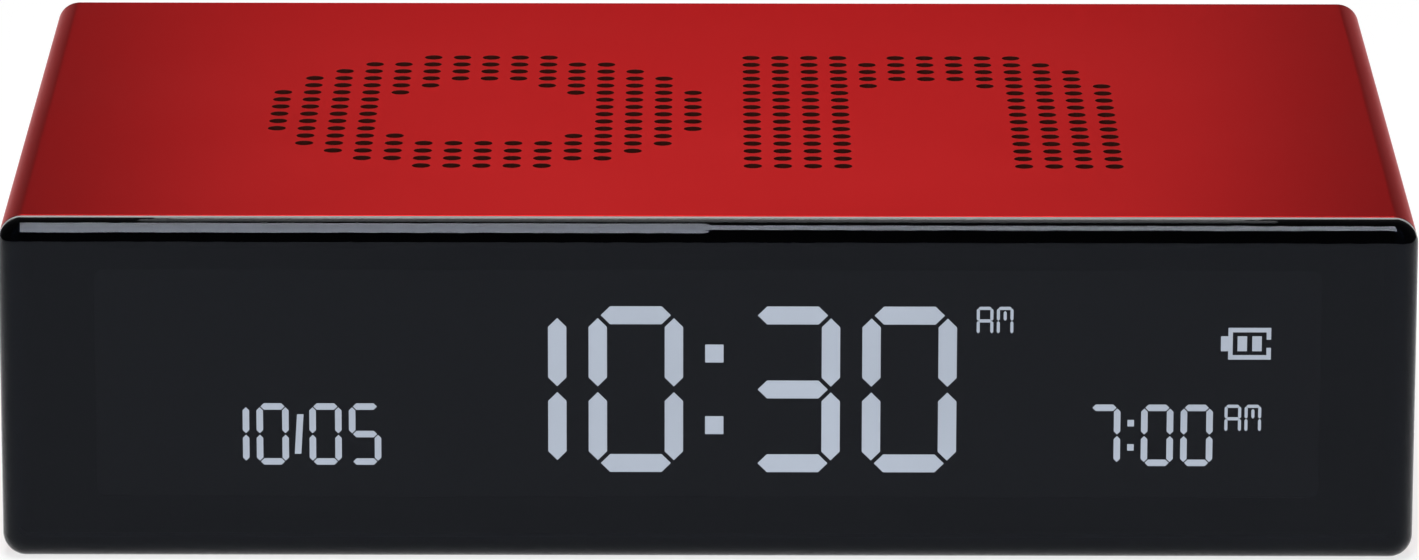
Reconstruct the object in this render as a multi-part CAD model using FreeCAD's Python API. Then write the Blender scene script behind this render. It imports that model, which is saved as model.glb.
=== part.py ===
import FreeCAD, Part

import math
import os

# Reversible display alarm clock, in millimetres. The origin is the middle of the underside.
# +X runs to the right, +Y to the back and +Z up, and the display looks along -Y.
# The upper face reads "on" in drilled holes. The lower face reads "off", the right way round
# once the clock is turned over about its front-to-back axis.

# Case
CASE_WIDTH = 150.0
CASE_DEPTH = 100.0
CASE_HEIGHT = 37.0
CASE_CORNER = 2.5
WALL = 1.8
INNER_CORNER = 0.8
SEAM_CHAMFER = 0.2
BACK_ROUND = 0.4
SEAT_STEP = 0.8

# Drilled words
HOLE_DIAMETER = 1.95
HOLE_PITCH = 3.25
ON_CENTRE_X = -1.7
ON_CENTRE_Y = -1.05
OFF_CENTRE_Y = 2.0
LETTER_ROWS = 16
LETTER_GAP = 1
O_COLUMNS = 15
O_OUTER_RADIUS = 7.8
O_INNER_RADIUS = 3.94
O_INNER_DROP = 0.25
N_COLUMNS = 13
STEM_COLUMNS = 4
N_ARCH_RADIUS = 5.45
N_ARCH_COLUMN = 6.9
N_ARCH_ROW = 5
N_OPENING_RADIUS = 2.55
N_OPENING_COLUMN = 6
N_OPENING_ROW = 6
F_COLUMNS = 9
F_STEM_START = 2
F_HOOK_ROWS = 6
F_HOOK_OUTER = 6.1
F_HOOK_INNER = 2.2
F_BAR_ROWS = (1, 2, 3)

# Cloth behind the holes
CLOTH_THICKNESS = 0.4
CLOTH_MARGIN = 5.0
ON_CLOTH_FRONT_GAP = 7.5
ON_CLOTH_BACK_GAP = 18.0
OFF_CLOTH_FRONT_GAP = 1.0
OFF_CLOTH_BACK_GAP = 5.0

# Front window
LENS_THICKNESS = 3.4
LENS_FRONT_ROUND = 2.3
LENS_BACK_ROUND = 0.3
PLUG_DEPTH = 2.1
PLUG_GAP = 0.15
MASK_THICKNESS = 0.15
MASK_MARGIN = 0.3
WINDOW_MARGIN = 1.0
WINDOW_CORNER = 1.0
TAPE_THICKNESS = 0.15

# Display and its light
LCD_THICKNESS = 2.2
LCD_GAP = 0.3
GUIDE_THICKNESS = 3.0
GUIDE_LEDGE = 2.8
GUIDE_MARGIN = 0.5
REFLECTOR_THICKNESS = 0.2
STACK_GAP = 0.05
FRAME_GAP = 0.3
FRAME_CORNER = 1.0
FRAME_SIDE = 6.6
FRAME_EDGE = 2.6
LED_BOARD_THICKNESS = 1.2
LED_BOARD_GAP = 1.6
LED_COUNT = 4
LED_PITCH = 5.5
LED_HEIGHT = 3.0
LED_WIDTH = 1.6
LED_DEPTH = 1.1
LED_GAP = 0.2

# Lit characters
INK_THICKNESS = 0.1
TIME_TEXT = "1030"
TIME_X = 0.68
TIME_DROP = 0.62
TIME_CELL_WIDTH = 10.03
TIME_CELL_HEIGHT = 18.25
TIME_STROKE = 1.95
TIME_SEGMENT_GAP = 0.33
TIME_PITCH = 12.38
TIME_COLON_OFFSET = 8.33
TIME_COLON_RISE = 3.95
DATE_TEXT = "1005"
ALARM_TEXT = " 700"
SMALL_INSET = 21.8
SMALL_SHIFT = 0.75
SMALL_DROP = 5.62
SMALL_CELL_WIDTH = 3.42
SMALL_CELL_HEIGHT = 6.77
SMALL_STROKE = 0.69
SMALL_SEGMENT_GAP = 0.1
SMALL_PITCH = 4.2
SMALL_COLON_OFFSET = 2.81
SMALL_COLON_RISE = 1.34
SLASH_HEIGHT = 4.34
SLASH_LEAN = 0.27
AM_CELL_WIDTH = 1.76
AM_CELL_HEIGHT = 3.08
AM_STROKE = 0.32
AM_SEGMENT_GAP = 0.03
AM_PITCH = 2.13
AM_SPACE = 2.96
ALARM_AM_SPACE = 2.12
BATTERY_MARK_INSET = 8.55
BATTERY_MARK_RISE = 4.5
BATTERY_MARK_WIDTH = 4.53
BATTERY_MARK_HEIGHT = 3.47
BATTERY_MARK_STROKE = 0.47
BATTERY_MARK_SLOT = 0.93
BATTERY_MARK_NOSE = 0.78
BATTERY_MARK_BAR = 1.0
BATTERY_MARK_BAR_HEIGHT = 1.62
BATTERY_MARK_BAR_PITCH = 1.56

# Chassis
CHASSIS_GAP = 0.6
CHASSIS_WALL = 1.6
CHASSIS_FLOOR_GAP = 0.7
CHASSIS_BACK_GAP = 0.3
FENCE_GAP = 0.4
FENCE_WALL = 1.0
FENCE_HEIGHT = 3.0
SOUND_SLOT_LENGTH = 14.0
SOUND_SLOT_WIDTH = 1.5
SOUND_SLOT_PITCH = 4.0
SOUND_SLOT_COUNT = 5

# Screws
FRAME_SCREW_SPAN = 21.0
REAR_SCREW_SPAN = 20.0
REAR_SCREW_INSET = 2.4
REAR_BOSS_RADIUS = 3.0
REAR_BOSS_LENGTH = 14.0
SCREW_CLEARANCE = 0.15
SMALL_HEAD_RADIUS = 1.7
SMALL_HEAD_HEIGHT = 1.2
SMALL_SHANK_RADIUS = 0.85
SMALL_SHANK_LENGTH = 5.0
REAR_HEAD_RADIUS = 2.0
REAR_HEAD_HEIGHT = 1.4
REAR_HEAD_GAP = 0.15
REAR_SHANK_RADIUS = 1.0
REAR_SHANK_LENGTH = 9.0
RECESS_SHARE = 0.6
RECESS_WIDTH = 0.45

# Main circuit board
BOARD_THICKNESS = 1.6
MAIN_BOARD_LIFT = 3.9
MAIN_BOARD_SIDE_GAP = 5.0
MAIN_BOARD_FRONT_GAP = 3.3
MAIN_BOARD_BACK_GAP = 12.4
BOARD_SCREW_INSET = 4.0
POST_RADIUS = 2.5
CHIP_SIZE = 12.0
CHIP_HEIGHT = 1.6
CHIP_X = 26.0
CHIP_Y = 26.0
CRYSTAL_RADIUS = 1.0
CRYSTAL_LENGTH = 6.0
CRYSTAL_X = 38.0
CRYSTAL_Y = 26.0
CAPACITOR_RADIUS = 2.5
CAPACITOR_HEIGHT = 6.0
CAPACITOR_COUNT = 3
CAPACITOR_PITCH = 8.0
CAPACITOR_FROM_RIGHT = 10.0
CAPACITOR_Y = 14.0

# Battery
BATTERY_LENGTH = 50.0
BATTERY_HEIGHT = 8.0
BATTERY_ROUND = 1.5
BATTERY_SIDE_GAP = 3.0
BATTERY_FRONT_GAP = 4.3
BATTERY_TAPE_THICKNESS = 0.2
BATTERY_TAPE_MARGIN = 5.0
PLUG_FROM_BACK = 16.0
SOCKET_LENGTH = 6.0
SOCKET_WIDTH = 9.0
SOCKET_HEIGHT = 5.0
SOCKET_WALL = 0.7
SOCKET_DEPTH = 4.0
PIN_PLUG_LENGTH = 6.0
PIN_PLUG_GAP = 0.1
LEAD_DIAMETER = 1.0
LEAD_SPACING = 2.0
LEAD_RUN = 8.0
LEAD_BAY = 18.0
LEAD_HEIGHT = 5.0

# Buzzer
BUZZER_RADIUS = 13.5
BUZZER_HEIGHT = 7.0
BUZZER_WALL = 1.2
BUZZER_BEHIND_BATTERY = 20.0
BUZZER_BACK_GAP = 17.4
BUZZER_SEAT_HEIGHT = 3.0
BUZZER_SEAT_STEP = 1.0
BUZZER_DISC_GAP = 0.1
BUZZER_DISC_THICKNESS = 0.3
BUZZER_CRYSTAL_RADIUS = 8.0
BUZZER_CRYSTAL_THICKNESS = 0.25
BUZZER_LEAD_DIAMETER = 0.9
BUZZER_LEAD_SPACING = 1.7
BUZZER_LEAD_FRONT = 4.5
BUZZER_LEAD_LAND = 5.0

# Tilt sensor
TILT_X = 16.0
TILT_FROM_BACK = 18.0
TILT_BALL_RADIUS = 2.0
TILT_BALL_GAP = 0.1
TILT_SEAT_GAP = 0.02
TILT_TRAVEL = 3.3
TILT_WALL = 1.2
TILT_END = 0.8
TILT_CONTACT_RADIUS = 0.5
TILT_CONTACT_SPACING = 2.0

# Rear cover
COVER_THICKNESS = 2.2
COVER_RECESS = 0.3
COVER_GAP = 0.12
STANDOFF_LENGTH = 7.5
STANDOFF_RADIUS = 2.2
STANDOFF_SPAN = 14.0

# Buttons and their board
BUTTON_BOARD_MARGIN = 9.0
BUTTON_BOARD_HEIGHT = 20.0
BUTTON_WIDTH = 9.0
BUTTON_HEIGHT = 4.6
BUTTON_GAP = 0.2
BUTTON_INSET = 30.0
BUTTON_PITCH = 15.0
BUTTON_EDGE_ROUND = 0.4
FLANGE_THICKNESS = 1.0
FLANGE_MARGIN = 0.9
FLANGE_GAP = 0.2
STEM_RADIUS = 2.0
SWITCH_SIZE = 6.2
SWITCH_HEIGHT = 3.5
PLUNGER_RADIUS = 1.7
PLUNGER_RISE = 1.5
PLUNGER_DEPTH = 0.9
PLUNGER_GAP = 0.15
SWITCH_POCKET = 1.5
RESET_X = 14.0
RESET_SIZE = 4.0
RESET_HEIGHT = 2.5
RESET_PLUNGER_RADIUS = 0.8
RESET_PLUNGER_RISE = 0.8
RESET_POCKET = 1.3
RESET_HOLE_RADIUS = 0.65
MARK_THICKNESS = 0.05
MARK_RISE = 6.4
MARK_SIZE = 2.8
MARK_STROKE = 0.4

# Charging socket
USB_WIDTH = 8.94
USB_HEIGHT = 3.26
USB_CORNER = 1.28
USB_WALL = 0.3
USB_LENGTH = 9.4
USB_HOLE_GAP = 0.3
USB_BASE = 2.0
USB_TONGUE_WIDTH = 6.6
USB_TONGUE_THICKNESS = 0.7
USB_TONGUE_LENGTH = 6.0
USB_CONTACT_COUNT = 12
USB_CONTACT_PITCH = 0.5
USB_CONTACT_WIDTH = 0.25
USB_CONTACT_THICKNESS = 0.05
USB_CONTACT_LENGTH = 4.0

# Flat cables
RIBBON_THICKNESS = 0.3
RIBBON_WIDTH = 10.0
RIBBON_X = -22.0
RIBBON_LAP = 10.0
RIBBON_BEND = 3.0
RIBBON_CLIMB = 7.0
FLEX_THICKNESS = 0.2
FLEX_WIDTH = 30.0
FLEX_X = -30.0
FLEX_LAP = 1.2
FLEX_FOOT = 0.4
FLEX_BEND = 0.6
FLEX_REACH = 1.7
FLEX_BOARD_LAP = 6.0
FLEX_SLOT_GAP = 0.5

# Cutting tools run past the faces they cut by this much.
OVERCUT = 1.0
TINY = 1e-6
RUN_SHARE = 0.45

# Places along the depth
FRONT_Y = -CASE_DEPTH / 2
BACK_Y = CASE_DEPTH / 2
SEAM_Y = FRONT_Y + LENS_THICKNESS
PLUG_END_Y = SEAM_Y + PLUG_DEPTH
LCD_FRONT_Y = PLUG_END_Y + MASK_THICKNESS
FRAME_FRONT_Y = LCD_FRONT_Y + TAPE_THICKNESS
LCD_BACK_Y = LCD_FRONT_Y + LCD_THICKNESS
GUIDE_BACK_Y = LCD_BACK_Y + GUIDE_THICKNESS
REFLECTOR_BACK_Y = GUIDE_BACK_Y + REFLECTOR_THICKNESS
CHASSIS_FRONT_Y = REFLECTOR_BACK_Y + STACK_GAP
BAY_FRONT_Y = CHASSIS_FRONT_Y + CHASSIS_WALL
COVER_OUTER_Y = BACK_Y - COVER_RECESS
SEAT_Y = COVER_OUTER_Y - COVER_THICKNESS
CHASSIS_BACK_Y = SEAT_Y - CHASSIS_BACK_GAP
SWITCH_BASE_Y = SEAT_Y - STANDOFF_LENGTH
BUTTON_BOARD_FRONT_Y = SWITCH_BASE_Y - BOARD_THICKNESS
SWITCH_TOP_Y = SWITCH_BASE_Y + SWITCH_HEIGHT
PLUNGER_TOP_Y = SWITCH_TOP_Y + PLUNGER_RISE
FLANGE_BACK_Y = SEAT_Y - FLANGE_GAP
FLANGE_FRONT_Y = FLANGE_BACK_Y - FLANGE_THICKNESS

# Sizes and places across the width and height
MID_Z = CASE_HEIGHT / 2
INNER_WIDTH = CASE_WIDTH - 2 * WALL
INNER_HEIGHT = CASE_HEIGHT - 2 * WALL
SEAT_WIDTH = INNER_WIDTH + 2 * SEAT_STEP
SEAT_HEIGHT = INNER_HEIGHT + 2 * SEAT_STEP
SEAT_CORNER = INNER_CORNER + SEAT_STEP
FRAME_WIDTH = INNER_WIDTH - 2 * FRAME_GAP
FRAME_HEIGHT = INNER_HEIGHT - 2 * FRAME_GAP
LCD_WIDTH = FRAME_WIDTH - 2 * (FRAME_SIDE + LCD_GAP)
LCD_HEIGHT = FRAME_HEIGHT - 2 * (FRAME_EDGE + LCD_GAP)
LCD_BOTTOM_Z = MID_Z - LCD_HEIGHT / 2
GUIDE_BOTTOM_Z = LCD_BOTTOM_Z + GUIDE_LEDGE
GUIDE_TOP_Z = LCD_BOTTOM_Z + LCD_HEIGHT - GUIDE_MARGIN
BAY_HALF = INNER_WIDTH / 2 - CHASSIS_GAP - CHASSIS_WALL
CHASSIS_HALF = BAY_HALF + CHASSIS_WALL
CHASSIS_BOTTOM_Z = WALL + CHASSIS_FLOOR_GAP
BAY_FLOOR_Z = CHASSIS_BOTTOM_Z + CHASSIS_WALL
CHASSIS_TOP_Z = CASE_HEIGHT - WALL - CHASSIS_GAP
FRAME_SCREW_X = BAY_HALF - SMALL_HEAD_RADIUS - FRAME_GAP
REAR_SCREW_X = BAY_HALF - REAR_SCREW_INSET
BOARD_BOTTOM_Z = BAY_FLOOR_Z + MAIN_BOARD_LIFT
BOARD_TOP_Z = BOARD_BOTTOM_Z + BOARD_THICKNESS
BATTERY_RIGHT_X = BAY_HALF - BATTERY_SIDE_GAP
BATTERY_LEFT_X = BATTERY_RIGHT_X - BATTERY_LENGTH
BOARD_LEFT_X = -BAY_HALF + MAIN_BOARD_SIDE_GAP
BOARD_RIGHT_X = BATTERY_LEFT_X - LEAD_BAY
BOARD_FRONT_Y = BAY_FRONT_Y + MAIN_BOARD_FRONT_GAP
BOARD_BACK_Y = BUTTON_BOARD_FRONT_Y - MAIN_BOARD_BACK_GAP
BUZZER_X = BATTERY_RIGHT_X - BATTERY_LENGTH / 2
BUZZER_Y = BUTTON_BOARD_FRONT_Y - BUZZER_BACK_GAP
BATTERY_FRONT_Y = BAY_FRONT_Y + BATTERY_FRONT_GAP
BATTERY_BACK_Y = BUZZER_Y - BUZZER_BEHIND_BATTERY
BATTERY_BOTTOM_Z = BAY_FLOOR_Z + BATTERY_TAPE_THICKNESS
TIME_Z = MID_Z - TIME_DROP
SMALL_Z = MID_Z - SMALL_DROP
DATE_X = SMALL_INSET - LCD_WIDTH / 2 + SMALL_SHIFT
ALARM_X = LCD_WIDTH / 2 - SMALL_INSET + SMALL_SHIFT
BATTERY_MARK_X = LCD_WIDTH / 2 - BATTERY_MARK_INSET
BUTTON_OUTER_X = CASE_WIDTH / 2 - BUTTON_INSET
BUTTON_INNER_X = BUTTON_OUTER_X - BUTTON_PITCH
STANDOFF_X = BUTTON_OUTER_X - BUTTON_PITCH / 2
BUTTON_PLACES = {
    "set_time": -BUTTON_OUTER_X,
    "set_alarm": -BUTTON_INNER_X,
    "minus": BUTTON_INNER_X,
    "plus": BUTTON_OUTER_X,
}


def vector(x, y, z):
    return FreeCAD.Vector(x, y, z)


def block(x0, x1, y0, y1, z0, z1):
    return Part.makeBox(x1 - x0, y1 - y0, z1 - z0, vector(x0, y0, z0))


def rod_y(x, z, radius, y0, y1):
    return Part.makeCylinder(radius, y1 - y0, vector(x, y0, z), vector(0, 1, 0))


def rod_z(x, y, radius, z0, z1):
    return Part.makeCylinder(radius, z1 - z0, vector(x, y, z0))


def joined(first, *others):
    return first.fuse(list(others)).removeSplitter()


def edges_at_y(shape, y):
    return [edge for edge in shape.Edges if all(abs(v.Y - y) < TINY for v in edge.Vertexes)]


def rounded_bar(x, z, width, height, corner, y0, y1):
    """Bar along Y whose section is a rounded rectangle centred on x and z."""
    arcs = []
    for quarter in range(4):
        side_x = 1 if quarter in (0, 3) else -1
        side_z = 1 if quarter in (0, 1) else -1
        centre_x = x + side_x * (width / 2 - corner)
        centre_z = z + side_z * (height / 2 - corner)
        angles = [math.pi / 4 * (2 * quarter + step) for step in range(3)]
        arcs.append([
            vector(centre_x + corner * math.cos(a), y0, centre_z + corner * math.sin(a)) for a in angles
        ])
    edges = []
    for arc, following in zip(arcs, arcs[1:] + arcs[:1]):
        edges.append(Part.Arc(*arc).toShape())
        if arc[2].distanceToPoint(following[0]) > TINY:
            edges.append(Part.makeLine(arc[2], following[0]))
    return Part.Face(Part.Wire(edges)).extrude(vector(0, y1 - y0, 0))


def flat_shape(outline, y, thickness):
    """Thin piece whose outline is a list of (x, z) points, standing in front of the plane at y."""
    points = [vector(x, y - thickness, z) for x, z in outline]
    return Part.Face(Part.makePolygon(points + points[:1])).extrude(vector(0, thickness, 0))


def screw(head_radius, head_height, shank_radius, shank_length):
    """Cross-recess screw pointing down, with the top of its head at the origin."""
    head = rod_z(0, 0, head_radius, -head_height, 0)
    shank = rod_z(0, 0, shank_radius, -head_height - shank_length, -head_height)
    reach = head_radius * RECESS_SHARE
    half = RECESS_WIDTH / 2
    depth = head_height * RECESS_SHARE
    cross = joined(
        block(-reach, reach, -half, half, -depth, OVERCUT),
        block(-half, half, -reach, reach, -depth, OVERCUT),
    )
    return joined(head, shank).cut(cross)


def placed(shape, place, facing):
    """Copy of a shape whose own +Z is turned to face along a direction, moved to a place."""
    turned = shape.copy()
    turned.Placement = FreeCAD.Placement(place, FreeCAD.Rotation(vector(0, 0, 1), facing))
    return turned


def rounded_path(points, bend=None):
    """Straight runs joined by tangent arcs. With no bend given, each arc is as large as its runs allow."""
    corners = [vector(*point) for point in points]
    edges = []
    radii = []
    start = corners[0]
    for before, corner, after in zip(corners, corners[1:], corners[2:]):
        arriving = corner - before
        leaving = after - corner
        half_turn = arriving.getAngle(leaving) / 2
        radius = bend or RUN_SHARE * min(arriving.Length, leaving.Length) / math.tan(half_turn)
        reach = radius * math.tan(half_turn)
        arriving.normalize()
        leaving.normalize()
        inward = leaving - arriving
        inward.normalize()
        first = corner - arriving * reach
        last = corner + leaving * reach
        middle = corner + inward * (radius / math.cos(half_turn) - radius)
        edges.append(Part.makeLine(start, first))
        edges.append(Part.Arc(first, middle, last).toShape())
        radii.append(radius)
        start = last
    edges.append(Part.makeLine(start, corners[-1]))
    return Part.Wire(edges), min(radii)


def lead(points, diameter):
    """Round wire along a route."""
    path, least_radius = rounded_path(points)
    start = vector(*points[0])
    direction = vector(*points[1]) - start
    section = Part.Wire(Part.makeCircle(diameter / 2, start, direction))
    print("least lead radius in diameters", round(least_radius / diameter, 2))
    return path.makePipeShell([section], True, False)


def flat_cable(points, x, width, thickness, bend):
    """Flat cable whose middle follows a route of (y, z) points."""
    path = rounded_path([(x, y, z) for y, z in points], bend)[0]
    start = vector(x, *points[0])
    direction = vector(x, *points[1]) - start
    direction.normalize()
    across = vector(width / 2, 0, 0)
    through = vector(0, -direction.z, direction.y) * (thickness / 2)
    corners = [start - across - through, start + across - through,
               start + across + through, start - across + through]
    section = Part.makePolygon(corners + corners[:1])
    return path.makePipeShell([section], True, False)


# Drilled words

def in_o(column, row):
    centre = (O_COLUMNS - 1) / 2
    middle = (LETTER_ROWS - 1) / 2
    outer = math.hypot(column - centre, row - middle)
    inner = math.hypot(column - centre, row - middle - O_INNER_DROP)
    return outer < O_OUTER_RADIUS and inner > O_INNER_RADIUS


def in_n(column, row):
    if column < STEM_COLUMNS:
        return True
    if row < N_OPENING_ROW:
        opening = math.hypot(column - N_OPENING_COLUMN, row - N_OPENING_ROW) < N_OPENING_RADIUS
    else:
        opening = abs(column - N_OPENING_COLUMN) < N_OPENING_RADIUS
    if row < N_ARCH_ROW:
        arch = math.hypot(column - N_ARCH_COLUMN, row - N_ARCH_ROW) < N_ARCH_RADIUS
    else:
        arch = column < N_COLUMNS
    return arch and not opening


def in_f(column, row):
    stem = F_STEM_START <= column < F_STEM_START + STEM_COLUMNS and row >= 0
    bar = row in F_BAR_ROWS
    reach = math.hypot(column - F_COLUMNS + 1, row)
    hook = row < 0 and F_HOOK_INNER < reach < F_HOOK_OUTER
    return stem or bar or hook


def word_dots(letters, first_row):
    """Column and row of every hole in a word, from its letters' rules and widths."""
    dots = []
    start = 0
    for inside, columns in letters:
        for column in range(columns):
            for row in range(first_row, LETTER_ROWS):
                if inside(column, row):
                    dots.append((start + column, row))
        start += columns + LETTER_GAP
    return dots, start - LETTER_GAP


def word_places(letters, first_row, centre_x, centre_y):
    """Hole centres of a word seen with its rows running from the back to the front."""
    dots, columns = word_dots(letters, first_row)
    middle_row = (first_row + LETTER_ROWS - 1) / 2
    middle_column = (columns - 1) / 2
    return [
        (centre_x + (column - middle_column) * HOLE_PITCH, centre_y + (middle_row - row) * HOLE_PITCH)
        for column, row in dots
    ]


def on_places():
    return word_places([(in_o, O_COLUMNS), (in_n, N_COLUMNS)], 0, ON_CENTRE_X, ON_CENTRE_Y)


def off_places():
    letters = [(in_o, O_COLUMNS), (in_f, F_COLUMNS), (in_f, F_COLUMNS)]
    places = word_places(letters, -F_HOOK_ROWS, 0, OFF_CENTRE_Y)
    return [(-x, y) for x, y in places]


# Case pieces

def case_sleeve():
    outer = rounded_bar(0, MID_Z, CASE_WIDTH, CASE_HEIGHT, CASE_CORNER, SEAM_Y, BACK_Y)
    outer = outer.makeChamfer(SEAM_CHAMFER, edges_at_y(outer, SEAM_Y))
    outer = outer.makeFillet(BACK_ROUND, edges_at_y(outer, BACK_Y))
    inner = rounded_bar(0, MID_Z, INNER_WIDTH, INNER_HEIGHT, INNER_CORNER, SEAM_Y - OVERCUT, BACK_Y + OVERCUT)
    seat = rounded_bar(0, MID_Z, SEAT_WIDTH, SEAT_HEIGHT, SEAT_CORNER, SEAT_Y, BACK_Y + OVERCUT)
    radius = HOLE_DIAMETER / 2
    upper = [rod_z(x, y, radius, CASE_HEIGHT - WALL - OVERCUT, CASE_HEIGHT + OVERCUT) for x, y in on_places()]
    lower = [rod_z(x, y, radius, -OVERCUT, WALL + OVERCUT) for x, y in off_places()]
    return outer.cut([inner, seat]).cut(upper + lower)


def dust_cloth(places, front_gap, back_gap, z0):
    reach = HOLE_DIAMETER / 2 + CLOTH_MARGIN
    xs = [x for x, y in places]
    return block(min(xs) - reach, max(xs) + reach, CHASSIS_FRONT_Y + front_gap, SEAT_Y - back_gap,
                 z0, z0 + CLOTH_THICKNESS)


def front_lens():
    body = rounded_bar(0, MID_Z, CASE_WIDTH, CASE_HEIGHT, CASE_CORNER, FRONT_Y, SEAM_Y)
    body = body.makeFillet(LENS_FRONT_ROUND, edges_at_y(body, FRONT_Y))
    body = body.makeFillet(LENS_BACK_ROUND, edges_at_y(body, SEAM_Y))
    plug = rounded_bar(0, MID_Z, INNER_WIDTH - 2 * PLUG_GAP, INNER_HEIGHT - 2 * PLUG_GAP,
                       INNER_CORNER - PLUG_GAP, SEAM_Y, PLUG_END_Y)
    return joined(body, plug)


def lens_mask():
    edge = 2 * (PLUG_GAP + MASK_MARGIN)
    sheet = rounded_bar(0, MID_Z, INNER_WIDTH - edge, INNER_HEIGHT - edge, FRAME_CORNER,
                        PLUG_END_Y, LCD_FRONT_Y)
    window = rounded_bar(0, MID_Z, LCD_WIDTH - 2 * WINDOW_MARGIN, LCD_HEIGHT - 2 * WINDOW_MARGIN,
                         WINDOW_CORNER, PLUG_END_Y - OVERCUT, LCD_FRONT_Y + OVERCUT)
    return sheet.cut(window)


def frame_ring(y0, y1):
    ring = rounded_bar(0, MID_Z, FRAME_WIDTH, FRAME_HEIGHT, FRAME_CORNER, y0, y1)
    opening = rounded_bar(0, MID_Z, LCD_WIDTH + 2 * LCD_GAP, LCD_HEIGHT + 2 * LCD_GAP, FRAME_CORNER,
                          y0 - OVERCUT, y1 + OVERCUT)
    return ring.cut(opening)


def lens_tape():
    return frame_ring(LCD_FRONT_Y, FRAME_FRONT_Y)


def front_frame():
    ring = frame_ring(FRAME_FRONT_Y, CHASSIS_FRONT_Y)
    depth = CHASSIS_FRONT_Y + CHASSIS_WALL - SMALL_SHANK_LENGTH
    holes = [rod_y(x, z, SMALL_SHANK_RADIUS, depth, CHASSIS_FRONT_Y + OVERCUT)
             for x, z in frame_screw_places()]
    return ring.cut(holes)


def frame_screw_places():
    return [(x, MID_Z + z) for x in (-FRAME_SCREW_X, FRAME_SCREW_X)
            for z in (-FRAME_SCREW_SPAN / 2, FRAME_SCREW_SPAN / 2)]


def frame_screws():
    one = screw(SMALL_HEAD_RADIUS, SMALL_HEAD_HEIGHT, SMALL_SHANK_RADIUS, SMALL_SHANK_LENGTH)
    return Part.makeCompound([
        placed(one, vector(x, BAY_FRONT_Y + SMALL_HEAD_HEIGHT, z), vector(0, 1, 0))
        for x, z in frame_screw_places()
    ])


# Display pieces

def lcd_panel():
    half = LCD_WIDTH / 2
    return block(-half, half, LCD_FRONT_Y, LCD_BACK_Y, LCD_BOTTOM_Z, LCD_BOTTOM_Z + LCD_HEIGHT)


def led_face_x():
    return LCD_WIDTH / 2 - LED_BOARD_GAP - LED_BOARD_THICKNESS


def light_guide():
    right = led_face_x() - LED_DEPTH - LED_GAP
    left = -LCD_WIDTH / 2 + GUIDE_MARGIN
    return block(left, right, LCD_BACK_Y, GUIDE_BACK_Y, GUIDE_BOTTOM_Z, GUIDE_TOP_Z)


def reflector_sheet():
    right = led_face_x() - LED_DEPTH - LED_GAP
    left = -LCD_WIDTH / 2 + GUIDE_MARGIN
    return block(left, right, GUIDE_BACK_Y, REFLECTOR_BACK_Y, GUIDE_BOTTOM_Z, GUIDE_TOP_Z)


def led_board():
    x = led_face_x()
    return block(x, x + LED_BOARD_THICKNESS, LCD_BACK_Y, GUIDE_BACK_Y, GUIDE_BOTTOM_Z, GUIDE_TOP_Z)


def backlight_leds():
    x = led_face_x()
    middle_y = (LCD_BACK_Y + GUIDE_BACK_Y) / 2
    middle_z = (GUIDE_BOTTOM_Z + GUIDE_TOP_Z) / 2
    leds = []
    for index in range(LED_COUNT):
        z = middle_z + (index - (LED_COUNT - 1) / 2) * LED_PITCH
        leds.append(block(x - LED_DEPTH, x, middle_y - LED_WIDTH / 2, middle_y + LED_WIDTH / 2,
                          z - LED_HEIGHT / 2, z + LED_HEIGHT / 2))
    return Part.makeCompound(leds)


# Each segment runs between two corners of a cell that is one wide and two high.
SEGMENTS = {
    "top": ((0, 2), (1, 2)),
    "upper_right": ((1, 2), (1, 1)),
    "lower_right": ((1, 1), (1, 0)),
    "bottom": ((0, 0), (1, 0)),
    "lower_left": ((0, 1), (0, 0)),
    "upper_left": ((0, 2), (0, 1)),
    "middle": ((0, 1), (1, 1)),
    "centre": ((0.5, 1.8), (0.5, 1)),
}
RIGHT_SIDE = ["upper_right", "lower_right"]
LEFT_SIDE = ["upper_left", "lower_left"]
LIT_SEGMENTS = {
    "0": ["top", "bottom"] + RIGHT_SIDE + LEFT_SIDE,
    "1": RIGHT_SIDE,
    "3": ["top", "middle", "bottom"] + RIGHT_SIDE,
    "5": ["top", "upper_left", "middle", "lower_right", "bottom"],
    "7": ["top"] + RIGHT_SIDE,
    "A": ["top", "middle"] + RIGHT_SIDE + LEFT_SIDE,
    "M": ["top", "centre"] + RIGHT_SIDE + LEFT_SIDE,
    " ": [],
}


def ink(outline):
    return flat_shape(outline, LCD_FRONT_Y, INK_THICKNESS)


def ink_box(x, z, width, height):
    return ink([(x - width / 2, z - height / 2), (x + width / 2, z - height / 2),
                (x + width / 2, z + height / 2), (x - width / 2, z + height / 2)])


def pointed_bar(start, end, stroke, gap):
    """Straight stroke with a right-angled point at each end, held back from the cell's corners."""
    length = math.dist(start, end)
    along = ((end[0] - start[0]) / length, (end[1] - start[1]) / length)
    half = stroke / 2

    def at(distance, side):
        return (start[0] + along[0] * distance - along[1] * side,
                start[1] + along[1] * distance + along[0] * side)

    return ink([at(gap, 0), at(gap + half, -half), at(length - gap - half, -half),
                at(length - gap, 0), at(length - gap - half, half), at(gap + half, half)])


def character(symbol, x, z, width, height, stroke, gap):
    """Lit segments of one character whose cell is centred on x and z."""
    across = width - stroke
    up = (height - stroke) / 2

    def corner(place):
        return (x + (place[0] - 0.5) * across, z + (place[1] - 1) * up)

    return [pointed_bar(corner(SEGMENTS[name][0]), corner(SEGMENTS[name][1]), stroke, gap)
            for name in LIT_SEGMENTS[symbol]]


def four_characters(text, x, z, cell, pitch, offset):
    """Two pairs of characters on either side of a colon or slash at x."""
    places = (-offset - pitch, -offset, offset, offset + pitch)
    solids = []
    for symbol, place in zip(text, places):
        solids += character(symbol, x + place, z, *cell)
    return solids


def colon(x, z, rise, size):
    return [ink_box(x, z - rise, size, size), ink_box(x, z + rise, size, size)]


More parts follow.
